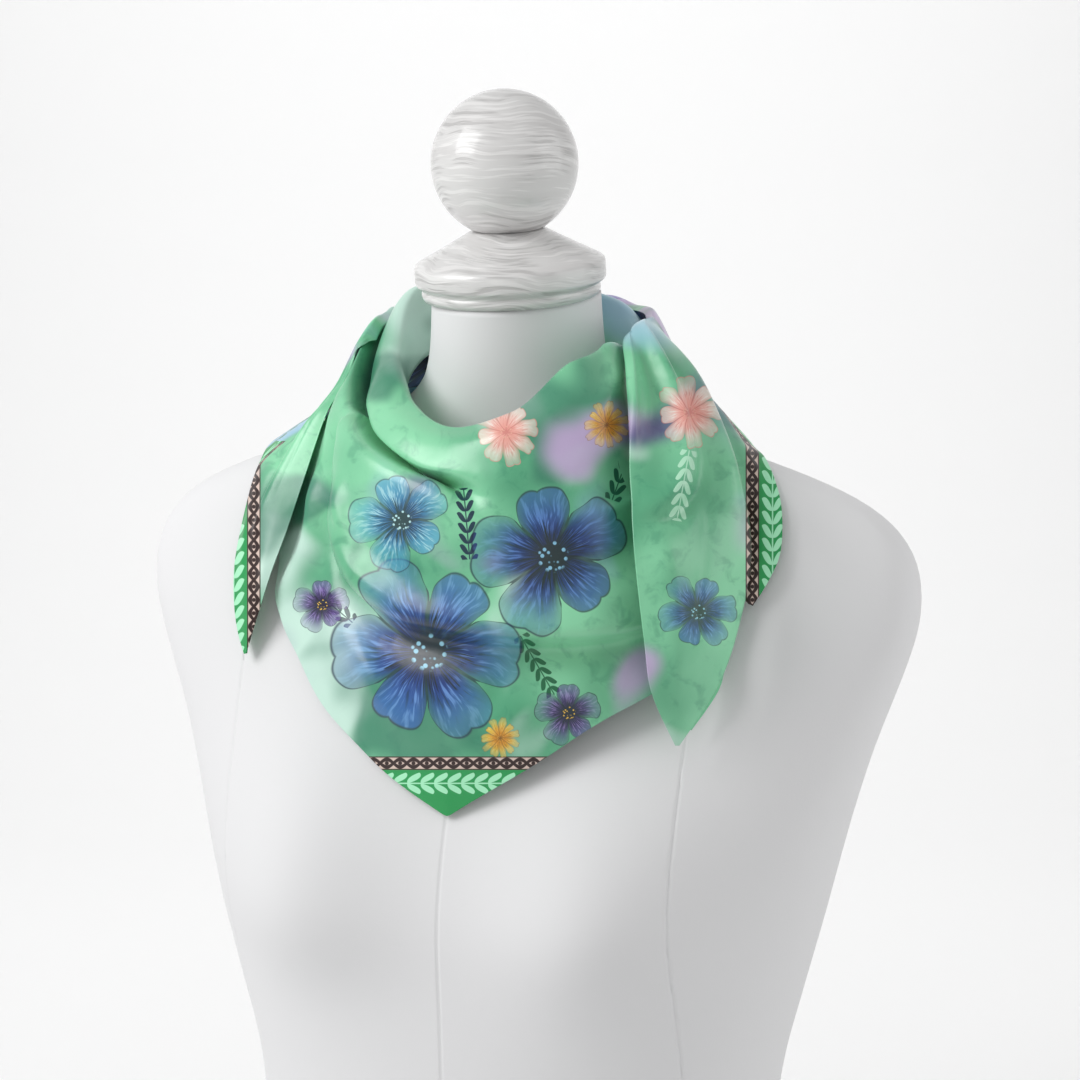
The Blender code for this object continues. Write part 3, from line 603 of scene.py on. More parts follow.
def settle(piece):
    """Puts the piece's place into its mesh."""
    make_active(piece)
    bpy.ops.object.transform_apply(location=True, rotation=True, scale=True)


def apply_modifiers(piece):
    make_active(piece)
    for modifier in list(piece.modifiers):
        bpy.ops.object.modifier_apply(modifier=modifier.name)


def edit_all():
    bpy.ops.object.mode_set(mode="EDIT")
    bpy.ops.mesh.select_all(action="SELECT")


def face_outward(piece):
    make_active(piece)
    edit_all()
    bpy.ops.mesh.normals_make_consistent(inside=False)
    bpy.ops.object.mode_set(mode="OBJECT")


def remove_old(name):
    """Removes the piece of an earlier run of its operator."""
    old = bpy.data.objects.get(name)
    if old:
        bpy.data.objects.remove(old, do_unlink=True)


def add_cloth(name, points, faces, places, turns, hems, material, trim):
    """A piece of cloth from its points in millimetres, its print map and how much of each point is hem.

    The trim is 1 on the sheets whose borders run down, and 0 on the one whose border runs across.
    """
    remove_old(name)
    mesh = bpy.data.meshes.new(name)
    mesh.from_pydata((points * MM).tolist(), [], faces.tolist())
    mesh.polygons.foreach_set("use_smooth", np.ones(len(mesh.polygons), bool))
    piece = bpy.data.objects.new(name, mesh)
    bpy.context.scene.collection.objects.link(piece)
    mesh.materials.append(material)

    corners = faces.reshape(-1)
    across = places[corners, 0].reshape(faces.shape)
    far_round = np.abs(turns[faces]).mean(axis=1) > radians(BACK_TURN)
    back = far_round & (np.abs(across).min(axis=1) > BACK_AWAY)
    signs = np.sign(turns[faces].sum(axis=1))[:, None]
    across = np.where(back[:, None], signs * np.abs(across), across)
    print_map = mesh.uv_layers.new(name="print")
    print_map.data.foreach_set("uv", np.stack([across.reshape(-1), places[corners, 1]], -1).reshape(-1))

    marks = mesh.attributes.new("trim", "FLOAT", "POINT")
    marks.data.foreach_set("value", np.full(len(points), trim))

    group = piece.vertex_groups.new(name="hem")
    for level in np.unique(np.round(hems, 2)):
        members = np.nonzero(np.round(hems, 2) == level)[0].tolist()
        group.add(members, float(level), "REPLACE")
    thick = piece.modifiers.new("cloth", "SOLIDIFY")
    thick.thickness = HEM * MM
    thick.offset = -1.0
    thick.vertex_group = "hem"
    thick.thickness_vertex_group = CLOTH / HEM
    thick.use_rim = True
    apply_modifiers(piece)
    piece.data.name = name
    return piece


def hem_weights(grid, top=False, bottom=True, first=False, last=False):
    """How much of each point belongs to a rolled hem, from its distance to the sheet's free edges."""
    weight = np.zeros(grid.shape[:2])
    edges = (
        (top, grid[:, :1]), (bottom, grid[:, -1:]), (first, grid[:1]), (last, grid[-1:]),
    )
    for wanted, edge in edges:
        if wanted:
            distance = np.linalg.norm(grid - edge, axis=-1)
            weight = np.maximum(weight, 1 - ramp(distance, HEM_CORE * HEM_WIDTH, HEM_WIDTH))
    return weight


def with_end(stations, length, spacing=0.8, steps=4):
    """Stations from 0 to 1 with some more close to the end, for a hem on a section of that length."""
    share = spacing * steps / length
    inner = stations * (1 - share)
    return np.concatenate([inner, np.linspace(1 - share, 1, steps + 1)[1:]])


# ---- The stretches of the scarf ----


def cowl_turns():
    """Azimuths round the cowl, which are the front's own where the two lie together."""
    front = front_turns()
    back_right = np.linspace(-180, front[0], COWL_BACK_RIGHT_TURNS, endpoint=False)
    back_left = np.linspace(front[-1], 180, COWL_BACK_LEFT_TURNS + 1, endpoint=False)[1:]
    return np.concatenate([back_right, front, back_left])


def collar_section(turns):
    """The control points down the cowl and the front, as (point, azimuth, (radius, height)).

    The cowl's lower fold is a pleat on the wearer's right, and it opens towards the left, where the cloth
    runs straight down from the cowl into the front.
    """
    foot, lip, belly, fold, tuck = sections(COWL_COLUMNS, COWL_SECTIONS, turns)
    inner, crest, upper, lower, hem = sections(FRONT_COLUMNS, FRONT_SECTIONS, np.clip(turns, *FRONT_SPAN))
    joined = ramp(turns, *JOIN_FROM)[:, None]
    opened = (ramp(turns, *PLEAT_OPENS) * (1 - ramp(turns, *FRONT_ENDS)))[:, None]
    turn = fold - FOLD_TURN
    inner = inner + (tuck - inner) * joined
    open_fold, open_turn, open_tuck, open_crest = [belly + share * (upper - belly) for share in OPEN_SHARES]
    fold = fold + (open_fold + OPEN_SWELL - fold) * opened
    turn = turn + (open_turn + OPEN_SWELL - turn) * opened
    tuck = tuck + (open_tuck - tuck) * opened
    inner = inner + (open_tuck - inner) * opened * joined
    crest = crest + (open_crest - crest) * opened
    cowl_side = [
        foot, lip - (LIP_ROLL, LIP_ROLL), lip, lip + (LIP_ROLL, -0.25 * LIP_ROLL), belly, fold, turn, tuck,
    ]
    after = tuck + (tuck - turn) * (1 - joined) + (crest - tuck) * joined
    before = inner + (inner - crest) * (1 - joined) + (turn - inner) * joined
    return np.array([*cowl_side, after]), np.array([before, inner, crest, upper, lower, hem])


def spread(counts):
    """Places along a curve, from 0, with a count of steps for each of its parts."""
    steps = [place + np.arange(1, count + 1) / count for place, count in enumerate(counts)]
    return np.concatenate([[0.0], *steps])


def cowl_grid():
    turns = cowl_turns()
    section = collar_section(turns)[0]
    places = spread(COWL_STEPS)
    cut = through(section, places / (len(section) - 1)).transpose(1, 0, 2)
    azimuth = np.broadcast_to(turns[:, None], cut.shape[:2])
    last = places[-1]
    fade = ramp(places, 2.6, 3.8) * (1 - ramp(places, last - 2.0, last - 1.2))
    out = folded(COWL_FOLDS, (radians(COWL_MIDDLE), 1), azimuth, cut[..., 1]) * fade
    return round_neck(azimuth, cut[..., 0] + out, cut[..., 1])


def section_values(columns, rows, name, turns):
    """A column of a table at some azimuths, as one curve on each side of the front's point."""
    known = column(columns, rows, "azimuth")
    values = column(columns, rows, name)
    if name != "hem_z" or POINT_AZIMUTH not in known:
        return smooth(known, values, turns)
    right = known <= POINT_AZIMUTH
    left = known >= POINT_AZIMUTH
    on_right = smooth(known[right], values[right], turns)
    return np.where(turns <= POINT_AZIMUTH, on_right, smooth(known[left], values[left], turns))


def sections(columns, table, turns):
    """Sections of a table at some azimuths, as (point, azimuth, (radius, height))."""
    values = [section_values(columns, table, name, turns) for name in columns[1:]]
    return np.array(list(zip(values[::2], values[1::2]))).transpose(0, 2, 1)


def front_turns():
    first, last = FRONT_SPAN
    right = np.linspace(first, POINT_AZIMUTH, FRONT_RIGHT_TURNS)
    left = np.linspace(POINT_AZIMUTH, last, FRONT_LEFT_TURNS)
    return np.concatenate([right, left[1:]])


def front_grid():
    turns = front_turns()
    section = collar_section(turns)[1]
    places = spread(FRONT_STEPS)
    last = places[-1]
    places = np.concatenate([places[:-1], last - HEM_STEPS * (places[-1] - places[-2])])
    cut = through(section, (1 + places) / (len(section) - 1)).transpose(1, 0, 2)
    azimuth = np.broadcast_to(turns[:, None], cut.shape[:2])
    fade = ramp(places, 0.0, 1.0)
    out = folded(FRONT_FOLDS, (radians(FRONT_MIDDLE), 1), azimuth, cut[..., 1]) * fade
    return round_neck(azimuth, cut[..., 0] + out, cut[..., 1])


def nape_stations():
    upper = np.linspace(0, SPLIT, NAPE_UPPER_STATIONS)
    lower = SPLIT + (1 - SPLIT) * with_end(np.linspace(0, 1, NAPE_LOWER_STATIONS), 90)
    return np.concatenate([upper, lower[1:]])


def nape_place(azimuth, stations):
    cut = through(sections(NAPE_COLUMNS, NAPE_SECTIONS, np.array([azimuth], float)), stations)[:, 0]
    return round_neck(np.full(len(stations), azimuth), cut[:, 0], cut[:, 1])


def nape_grid():
    turns = np.linspace(*NAPE_ENDS, NAPE_TURNS)
    stations = nape_stations()
    cut = through(sections(NAPE_COLUMNS, NAPE_SECTIONS, turns), stations).transpose(1, 0, 2)
    azimuth = np.broadcast_to(turns[:, None], cut.shape[:2])
    fade = np.minimum(1.0, np.minimum(turns - turns[0], turns[-1] - turns)[:, None] / NAPE_END)
    fade = fade * np.minimum(1.0, stations / NAPE_EDGE)
    out = folded(NAPE_FOLDS, (radians(NAPE_MIDDLE), 1), azimuth, cut[..., 1]) * fade
    return round_neck(azimuth, cut[..., 0] + out, cut[..., 1])


def end_grid(end, places):
    """A loose end as (down, across). Its lines leave the wrap's end section and run through the table."""
    table = end["table"]
    outward = np.array(end["outward"])
    inner, crest, corner, outer = [
        np.stack([column(END_COLUMNS, table, name + axis) for axis in "xyz"], -1)
        for name in ("inner_", "crest_", "corner_", "outer_")
    ]
    if end["folded_over"]:
        line = through(np.array([inner, crest, corner, (corner + outer) / 2, outer]), places)
    else:
        line = through(np.array([inner, crest, corner, outer]), places)
    line = line.transpose(1, 0, 2)
    begins = 0.0
    if "leaves" in end:
        azimuth, back, first, last = end["leaves"]
        stations = first + (last - first) * places
        start = [nape_place(azimuth + back, stations), nape_place(azimuth, stations)]
        line = np.concatenate([start, line])
        begins = 1 / (len(line) - 1)
    down = with_end(np.linspace(0, 1, end["rows"]), end["size"][1])
    grid = through(line, begins + (1 - begins) * down)
    across = np.broadcast_to(places, grid.shape[:2])
    along = np.broadcast_to(down[:, None], grid.shape[:2])
    fade = np.minimum(1.0, np.minimum(down, 1 - down) / END_EDGE)[:, None]
    return grid + outward * (folded(end["folds"], end["size"], across, along) * fade)[..., None]


def carried_on(grid, start, reach=0.25):
    """A loose end moved so that its first row is the wrap's, which fades out down its length."""
    fade = 1 - ramp(np.linspace(0, 1, len(grid)), 0, reach)
    return grid + (start - grid[0]) * fade[:, None, None]


def form_tree():
    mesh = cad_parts["form_torso"].data
    return BVHTree.FromPolygons(
        [vertex.co / MM for vertex in mesh.vertices], [tuple(polygon.vertices) for polygon in mesh.polygons]
    )


# ---- Materials ----


def linear(code):
    """An sRGB hex colour as linear numbers."""
    parts = [int(code[place:place + 2], 16) / 255 for place in (1, 3, 5)]
    return (*[part / 12.92 if part <= 0.04045 else ((part + 0.055) / 1.055) ** 2.4 for part in parts], 1.0)


class Value:
    """An output in a shader's tree. Arithmetic on it adds the nodes that work the result out."""

    def __init__(self, socket):
        self.socket = socket
        self.tree = socket.id_data

    def __abs__(self):
        return math("ABSOLUTE", self)

    def outputs(self, *names):
        return [Value(self.socket.node.outputs[name]) for name in names]


ARITHMETIC = {"add": "ADD", "sub": "SUBTRACT", "mul": "MULTIPLY", "truediv": "DIVIDE", "pow": "POWER"}
for method, operation in ARITHMETIC.items():
    setattr(Value, f"__{method}__", lambda self, other, kind=operation: math(kind, self, other))
    setattr(Value, f"__r{method}__", lambda self, other, kind=operation: math(kind, other, self))


def tree_of(values):
    return next(value.tree for value in values if isinstance(value, Value))


def fill(node, links):
    """Gives a node's inputs their numbers, or links them to values."""
    for place, value in links.items() if isinstance(links, dict) else enumerate(links):
        if isinstance(value, Value):
            node.id_data.links.new(value.socket, node.inputs[place])
        elif value is not None:
            node.inputs[place].default_value = value


def add(tree, kind, settings=None, links=(), out=0):
    """Adds a shader node with its settings and its inputs, and returns one of its outputs."""
    made = tree.nodes.new("ShaderNode" + kind)
    for name, value in (settings or {}).items():
        setattr(made, name, value)
    fill(made, links)
    return Value(made.outputs[out])


def math(operation, *values):
    return add(tree_of(values), "Math", {"operation": operation}, values)


def vector(operation, *values):
    out = 1 if operation in ("LENGTH", "DISTANCE") else 0
    return add(tree_of(values), "VectorMath", {"operation": operation}, values, out)


def stretch(value, factor):
    return vector("SCALE", value, None, None, factor)


def combine(*parts):
    return add(tree_of(parts), "CombineXYZ", {}, parts)


def split(value):
    return add(value.tree, "SeparateXYZ", {}, (value,)).outputs(0, 1, 2)


def blend(share, under, over):
    """Over laid on under, by a share from 0 to 1."""
    return add(share.tree, "Mix", {"data_type": "RGBA"}, {0: share, 6: under, 7: over}, 2)


def soft_step(value, low, high):
    """0 up to low and 1 from high on. With low above high it falls instead."""
    return add(value.tree, "MapRange", {"interpolation_type": "SMOOTHSTEP"}, (value, low, high, 0.0, 1.0))


def noise(place, scale, detail=2.0, rough=0.5, bend=0.0, out=0):
    links = {"Vector": place, "Scale": scale, "Detail": detail, "Roughness": rough, "Distortion": bend}
    return add(place.tree, "TexNoise", {"noise_dimensions": "3D"}, links, out)


def bump(height, strength, distance, normal=None):
    links = {"Strength": strength, "Distance": distance, "Height": height, "Normal": normal}
    return add(height.tree, "Bump", {}, links)


def object_place(tree):
    return add(tree, "TexCoord", out=3)


def new_material(name):
    old = bpy.data.materials.get(name)
    if old:
        bpy.data.materials.remove(old)
    material = bpy.data.materials.new(name)
    material.use_nodes = True
    return material, material.node_tree, material.node_tree.nodes["Principled BSDF"]


def new_group(name, inputs, outputs):
    """A node group and the values of its inputs, in their order."""
    old = bpy.data.node_groups.get(name)
    if old:
        bpy.data.node_groups.remove(old)
    group = bpy.data.node_groups.new(name, "ShaderNodeTree")
    for way, sockets in (("INPUT", inputs), ("OUTPUT", outputs)):
        for socket, kind in sockets.items():
            group.interface.new_socket(name=socket, in_out=way, socket_type="NodeSocket" + kind)
    entry = group.nodes.new("NodeGroupInput")
    return group, [Value(entry.outputs[socket]) for socket in inputs]


def close_group(group, results):
    fill(group.nodes.new("NodeGroupOutput"), results)


def blossom_group():
    """An open flower: petals with veins round a dark heart with pale stamens."""
    tree, given = new_group(
        "printed blossom",
        {
            "Place": "Vector", "Centre": "Vector", "Radius": "Float", "Turn": "Float", "Petals": "Float",
            "Tip": "Color", "Base": "Color", "Vein": "Color", "Line": "Color", "Stamen": "Color",
            "Heart": "Float",
        },
        {"Color": "Color", "Mask": "Float"},
    )
    place, centre, size, turn, petals, tip, base, vein, line, stamen, heart_size = given
    flower = stretch(vector("SUBTRACT", place, centre), 1.0 / size)
    wobble = noise(flower, 1.7, 1.0)
    radius = vector("LENGTH", flower)
    right, up, _ = split(flower)
    angle = math("MULTIPLY_ADD", wobble - 0.5, 0.5, math("ARCTAN2", up, right) + turn)
    turned = (angle + 4 * pi) / (2 * pi / petals)
    petal = math("MODULO", math("FLOOR", turned), petals)
    chance = add(tree, "TexWhiteNoise", {"noise_dimensions": "1D"}, {"W": petal})
    # 0 down the middle of a petal and 1 where it meets the next.
    aside = abs(math("MULTIPLY_ADD", math("FRACT", turned), 2.0, -1.0))
    notch = (1.0 - aside) ** 6.0 * -0.06
    rim = math("MULTIPLY_ADD", aside**3.2, -0.42, 1.0) + notch
    rim = rim * math("MULTIPLY_ADD", chance, 0.22, 0.8)
    # 0 at the flower's middle and 1 at the petal's tip.
    edge = radius / rim

    streak = noise(combine(angle * 5.0, radius * 1.1, chance), 3.2, 2.0, 0.6)
    colour = blend(soft_step(edge, 0.22, 0.85), base, tip)
    veins = soft_step(streak, 0.5, 0.66) * soft_step(edge, 0.18, 0.5)
    colour = blend(veins * 0.75, colour, vein)
    dark = soft_step(streak, 0.44, 0.34) * soft_step(edge, 0.95, 0.4)
    colour = blend(dark * 0.8, colour, line)
    colour = blend(soft_step(aside, 0.4, 1.0) * 0.8, colour, base)
    gap = (1.0 - aside) * radius
    lines = math("MAXIMUM", soft_step(gap, 0.05, 0.02), soft_step(edge, 0.945, 0.975))
    colour = blend(lines * 0.9, colour, line)
    # The colour is watery towards the tips, and the lines aren't.
    watery = soft_step(edge, 0.4, 1.0) * math("MULTIPLY_ADD", chance, 0.5, 0.25)
    mask = soft_step(edge, 1.0, 0.975) * math("MAXIMUM", 1.0 - watery, lines * 0.85)

    rays = noise(combine(angle * 9.0, 0.0, chance), 2.2, 1.0)
    heart = heart_size * (soft_step(rays, 0.42, 0.7) * 0.3 + 0.15)
    colour = blend(soft_step(radius - heart, 0.02, -0.01), colour, line)
    dots = add(tree, "TexVoronoi", {"feature": "F1"}, {"Vector": flower, "Scale": 15.0})
    dots = soft_step(dots, 0.42, 0.26) * soft_step(radius, 0.2, 0.15)
    colour = blend(dots * heart_size, colour, stamen)
    close_group(tree, {"Color": colour, "Mask": mask})
    return tree


def sprig_group():
    """Leaves in pairs up a straight stem."""
    tree, given = new_group(
        "printed sprig",
        {
            "Place": "Vector", "Foot": "Vector", "Turn": "Float", "Pitch": "Float", "Half width": "Float",
            "Length": "Float",
        },
        {"Mask": "Float"},
    )
    place, foot, turn, pitch, half, length = given
    links = {"Vector": vector("SUBTRACT", place, foot), "Angle": turn * -1.0}
    along, across, _ = split(add(tree, "VectorRotate", {"rotation_type": "Z_AXIS"}, links))
    aside = abs(across / half)
    step = math("FRACT", math("MULTIPLY_ADD", aside**0.8, -0.9, along / pitch))
    round_leaf = math("SINE", math("MINIMUM", aside, 1.0) * pi)
    leaf = soft_step(round_leaf**0.7 * 0.4 - abs(step - 0.5), 0.0, 0.05)
    leaf = math("MAXIMUM", leaf, soft_step(aside, 0.09, 0.04))
    inside = soft_step(along, 0.0, 0.0005) * soft_step(aside, 1.0, 0.98)
    close_group(tree, {"Mask": leaf * (inside * math("LESS_THAN", along, length))})
    return tree


def border_group():
    """Two waves laced round a row of dots, between two lines."""
    tree, given = new_group(
        "laced border", {"Along": "Float", "Across": "Float", "Pitch": "Float", "Half width": "Float"},
        {"Mask": "Float", "Band": "Float"},
    )
    along, offset, pitch, half = given
    across = offset / half
    aside = abs(across)
    turns = along / pitch
    wave = math("SINE", turns * pi) * 0.56
    waves = [soft_step(abs(line), 0.34, 0.24) for line in (across - wave, across + wave)]
    step = (math("FRACT", turns) - 0.5) * pitch / half
    dot = soft_step(vector("LENGTH", combine(step, across, 0.0)), 0.34, 0.26)
    band = soft_step(aside, 1.0, 0.98)
    lines = soft_step(aside, 0.8, 0.84) * band
    mask = math("MAXIMUM", math("MAXIMUM", *waves), math("MAXIMUM", dot, lines))
    close_group(tree, {"Mask": mask * band, "Band": band})
    return tree


def after(place, colour):
    """The same place, but worked out once the colour is, so that the shader holds few values at a time."""
    return stretch(place, math("MULTIPLY_ADD", colour, 1e-9, 1.0))


def chosen(place, options):
    """The values of the last option whose circle holds the place: (centre, radius, vectors and colours)."""
    values = options[0][2]
    for centre, radius, own in options[1:]:
        inside = math("LESS_THAN", vector("DISTANCE", place, centre), radius)
        values = [
            blend(inside, old, new) if len(new) == 4
            else add(place.tree, "Mix", {"data_type": "VECTOR"}, {0: inside, 4: old, 5: new}, 1)
            for old, new in zip(values, own)
        ]
    return values


def matte_form_paint(look):
    """Water-based matte paint over primed fibreglass, rolled on: a flat white that hardly shines."""
    material, tree, shader = new_material("matte_form_paint")
    fill(shader, {
        "Base Color": (*look.form_colour, 1.0), "Roughness": 0.62, "Specular IOR Level": 0.3,
        "Normal": bump(noise(object_place(tree), 900.0), 0.12, 0.0003),
    })
    return material


def washed_wood(look):
    """Turned beech, white-washed and lacquered: pale, with grey wavy grain under a gloss."""
    material, tree, shader = new_material("white_washed_beech")
    place = object_place(tree)
    drift = stretch(vector("SUBTRACT", noise(place, 16.0, out=1), (0.5, 0.5, 0.5)), 0.022)
    flat = vector("MULTIPLY", vector("ADD", place, drift), (0.05, 0.05, 1.0))
    lines = noise(flat, 560.0, 2.0, 0.6)
    broad = noise(flat, 110.0)
    streak = soft_step(lines, 0.52, 0.62) * soft_step(noise(place, 34.0), 0.36, 0.6)
    colour = blend(soft_step(broad, 0.45, 0.7) * 0.5, (*look.wood_colour, 1.0), linear("#c9c7c6"))
    colour = blend(streak * 0.5, colour, linear("#a09e9d"))
    colour = blend(soft_step(lines, 0.46, 0.36) * 0.5, colour, linear("#f5f4f3"))
    fill(shader, {
        "Base Color": colour, "Roughness": 0.42, "Coat Weight": 0.8, "Coat Roughness": 0.16,
        "Normal": bump(math("MULTIPLY_ADD", streak, -1.0, broad), 0.5, 0.0004),
    })
    return material


def spot(across, up):
    """A place on the print, in metres."""
    return (across * MM, up * MM, 0.0)


def washed_ground(place, look):
    """Mint ground under soft washes of colour, and one plain colour round the back."""
    cloud = noise(place, 12.0)
    fine = noise(place, 85.0, 3.0, 0.6, 0.6)
    colour = blend(soft_step(cloud, 0.32, 0.68), (*look.mint, 1.0), (*look.pale_mint, 1.0))
    colour = blend(soft_step(fine, 0.5, 0.72) * 0.38, colour, linear("#358a6b"))
    for number, (tint, share, size, level) in enumerate(WASHES, 1):
        cloud = noise(vector("ADD", place, (0.0, 0.0, WASH_SLICE * number)), 1 / (size * MM), 2.0, 0.5, 0.4)
        colour = blend(soft_step(cloud, level, level + WASH_SOFTNESS) * share, colour, linear(tint))
    return blend(soft_step(abs(split(place)[0]), *BACK_FADE), colour, linear(BACK_TINT))


def add_sprigs(place, colour, sprig):
    here = after(place, colour)
    options = [
        (spot(*foot), length * MM, (
            spot(*foot), (radians(turn), pitch * MM, half * MM), (length * MM, 0.0, 0.0), linear(tint),
        ))
        for foot, turn, pitch, half, length, tint in SPRIGS
    ]
    foot, shape, length, tint = chosen(here, options)
    links = (here, foot, *split(shape), split(length)[0])
    return blend(add(place.tree, "Group", {"node_tree": sprig}, links), colour, tint)


def add_borders(place, colour, sprig, border):
    """The laced border, with a green edge of leaves outside it."""
    tree = place.tree
    across, up, _ = split(after(place, colour))
    run, outward, reach = 0.0, 1.0, 0.0
    trim = add(tree, "Attribute", {"attribute_name": "trim"}, out=2)
    front = 1.0 - trim
    for line, along, sign, low, high in BORDERS:
        this, other, own = (across, up, trim) if along == "up" else (up, across, front)
        out = (this - line) * sign
        within = math("GREATER_THAN", other, low) * math("LESS_THAN", other, high)
        within = within * math("LESS_THAN", out, EDGE_BAND) * math("GREATER_THAN", out, -BORDER_HALF) * own
        outward = add(tree, "Mix", {"data_type": "FLOAT"}, {0: within, 2: outward, 3: out})
        run = add(tree, "Mix", {"data_type": "FLOAT"}, {0: within, 2: run, 3: other})
        reach = math("MAXIMUM", reach, within)
    away, pitch, half = BORDER_SPRIG
    links = (combine(run, outward, 0.0), (-0.4, away, 0.0), 0.0, pitch, half, 1.0)
    leaves = add(tree, "Group", {"node_tree": sprig}, links)
    colour = blend(reach, colour, blend(leaves, linear("#1c9a50"), linear("#a8f0c4")))
    chain = add(tree, "Group", {"node_tree": border}, (run, outward, BORDER_PITCH, BORDER_HALF))
    mask, band = chain.outputs("Mask", "Band")
    colour = blend(band * reach, colour, linear("#d6c0b4"))
    return blend(mask * reach, colour, linear("#2b1411"))


def add_blossoms(place, colour, blossom, layer):
    here = after(place, colour)
    options = [
        (spot(*centre), radius * MM, (
            spot(*centre), (radius * MM, radians(turn), petals), (heart, cover, 0.0), *map(linear, tints),
        ))
        for centre, radius, turn, petals, tints, heart, cover in layer
    ]
    centre, shape, dark, *tints = chosen(here, options)
    heart, cover, _ = split(dark)
    links = (here, centre, *split(shape), *tints, heart)
    petals, mask = add(place.tree, "Group", {"node_tree": blossom}, links).outputs("Color", "Mask")
    return blend(mask * cover, colour, petals)


def printed_silk(look):
    """Silk satin, screen printed: a smooth long-float weave with a broad soft sheen."""
    material, tree, shader = new_material("printed_silk_satin")
    blossom, sprig, border = blossom_group(), sprig_group(), border_group()
    place = add(tree, "UVMap", {"uv_map": "print"})
    colour = washed_ground(place, look)
    colour = add_sprigs(place, colour, sprig)
    colour = add_borders(place, colour, sprig, border)
    for layer in BLOSSOM_LAYERS:
        colour = add_blossoms(place, colour, blossom, layer)
    body = object_place(tree)
    soft = bump(noise(body, 55.0), 0.5, 0.0012)
    fill(shader, {
        "Base Color": colour, "Roughness": 0.3, "Specular IOR Level": 0.58,
        "Sheen Weight": 0.04, "Sheen Roughness": 0.35,
        "Normal": bump(noise(body, 1400.0, 1.0), 0.1, 0.0002, soft),
    })
    return material


# ---- What a user can change ----


class SCARF_PG_silk(bpy.types.PropertyGroup):
    mint: FloatVectorProperty(
        name="Ground", description="The print's mint ground", subtype="COLOR", size=3, min=0, max=1,
        default=linear("#52a57c")[:3],
    )
    pale_mint: FloatVectorProperty(
        name="Pale ground", description="The lighter clouds of the ground", subtype="COLOR", size=3,
        min=0, max=1, default=linear("#8fdcae")[:3],
    )


class SCARF_PG_form(bpy.types.PropertyGroup):
    form_colour: FloatVectorProperty(
        name="Form", description="Paint of the dress form", subtype="COLOR", size=3, min=0, max=1,
        default=linear("#e3e3e4")[:3],
    )
    wood_colour: FloatVectorProperty(
        name="Wood", description="White wash on the cap and ball", subtype="COLOR", size=3, min=0, max=1,
        default=linear("#dad9d8")[:3],
    )
    seam_half_width: FloatProperty(
        name="Seam half width", description="Half the width of the form's grooved seams",
        subtype="DISTANCE", unit="LENGTH", default=0.0009, min=0.0003, max=0.003, precision=4,
    )
    seam_depth: FloatProperty(
        name="Seam depth", description="Depth of the form's grooved seams", subtype="DISTANCE",
        unit="LENGTH", default=0.0006, min=0.0002, max=0.002, precision=4,
    )


class SCARF_PG_studio(bpy.types.PropertyGroup):
    key_power: FloatProperty(
        name="Key light", description="Power of the soft light from the upper left", unit="POWER",
        default=20.0, min=0, max=500,
    )
    side_power: FloatProperty(
        name="Side light", description="Power of the weak soft light from the right", unit="POWER",
        default=6.0, min=0, max=500,
    )
    backdrop_power: FloatProperty(
        name="Backdrop light", description="Power of the soft light on the sweep", unit="POWER",
        default=17.0, min=0, max=500,
    )
    fill: FloatProperty(
        name="Fill", description="Strength of the pale room all round", default=0.5, min=0, max=3,
    )
    lens: FloatProperty(
        name="Lens", description="Focal length on a 36 mm sensor, in millimetres", default=81.0,
        min=20, max=300,
    )


# ---- Operators ----


class SCARF_OT_form_body(bpy.types.Operator):
    """Build the dress form's smooth body with its grooved seams"""

    bl_idname = "scarf.form_body"
    bl_label = "Form body"

    def execute(self, context):
        look = context.scene.scarf_form
        name = "dress_form_body"
        remove_old(name)
        piece = bpy.data.objects.new(name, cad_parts["form_torso"].data.copy())
        piece.data.name = name
        piece.data.materials.clear()
        context.scene.collection.objects.link(piece)
        make_active(piece)
        edit_all()
        bpy.ops.mesh.remove_doubles(threshold=0.00002)
        bpy.ops.mesh.tris_convert_to_quads(face_threshold=radians(60), shape_threshold=radians(60))
        bpy.ops.object.mode_set(mode="OBJECT")
        low = min(vertex.co.z for vertex in piece.data.vertices)
        flats = {polygon.index for polygon in piece.data.polygons if abs(polygon.normal.z) > FLAT_FACE}
        sides = {}
        for polygon in piece.data.polygons:
            for key in polygon.edge_keys:
                sides.setdefault(key, []).append(polygon.index)
        crease = piece.data.attributes.new("crease_edge", "FLOAT", "EDGE")
        for edge in piece.data.edges:
            touching = sides[tuple(sorted(edge.vertices))]
            level = len([index for index in touching if index in flats])
            height = piece.data.vertices[edge.vertices[0]].co.z
            flat_rim = level == 1 and (height < low + MM or height > TOP_RIM)
            crease.data[edge.index].value = 1.0 if flat_rim else 0.0
        fine = piece.modifiers.new("smooth", "SUBSURF")
        fine.levels = 2
        fine.render_levels = 2
        apply_modifiers(piece)
        self.press_seams(piece, look)
        bpy.ops.object.shade_smooth_by_angle(angle=radians(50))
        piece.data.materials.append(matte_form_paint(look))
        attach(piece, BODY)
        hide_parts("form_torso")
        return {"FINISHED"}

    def press_seams(self, piece, look):
        """Cuts the body along each seam and presses the seam's middle in."""
        bpy.ops.object.mode_set(mode="EDIT")
        for across in SEAMS:
            for share in SEAM_CUTS:
                bpy.ops.mesh.select_all(action="SELECT")
                place = across * MM + share * look.seam_half_width
                bpy.ops.mesh.bisect(plane_co=(place, 0, 0), plane_no=(1, 0, 0))
        bpy.ops.object.mode_set(mode="OBJECT")
        normals = [vertex.normal.copy() for vertex in piece.data.vertices]
        for vertex, normal in zip(piece.data.vertices, normals):
            off = min(abs(vertex.co.x - across * MM) for across in SEAMS)
            if off < 0.1 * look.seam_half_width and abs(normal.z) < 0.9:
                fade = 1 - float(ramp(vertex.co.z / MM, *SEAM_FADES))
                vertex.co -= normal * look.seam_depth * fade


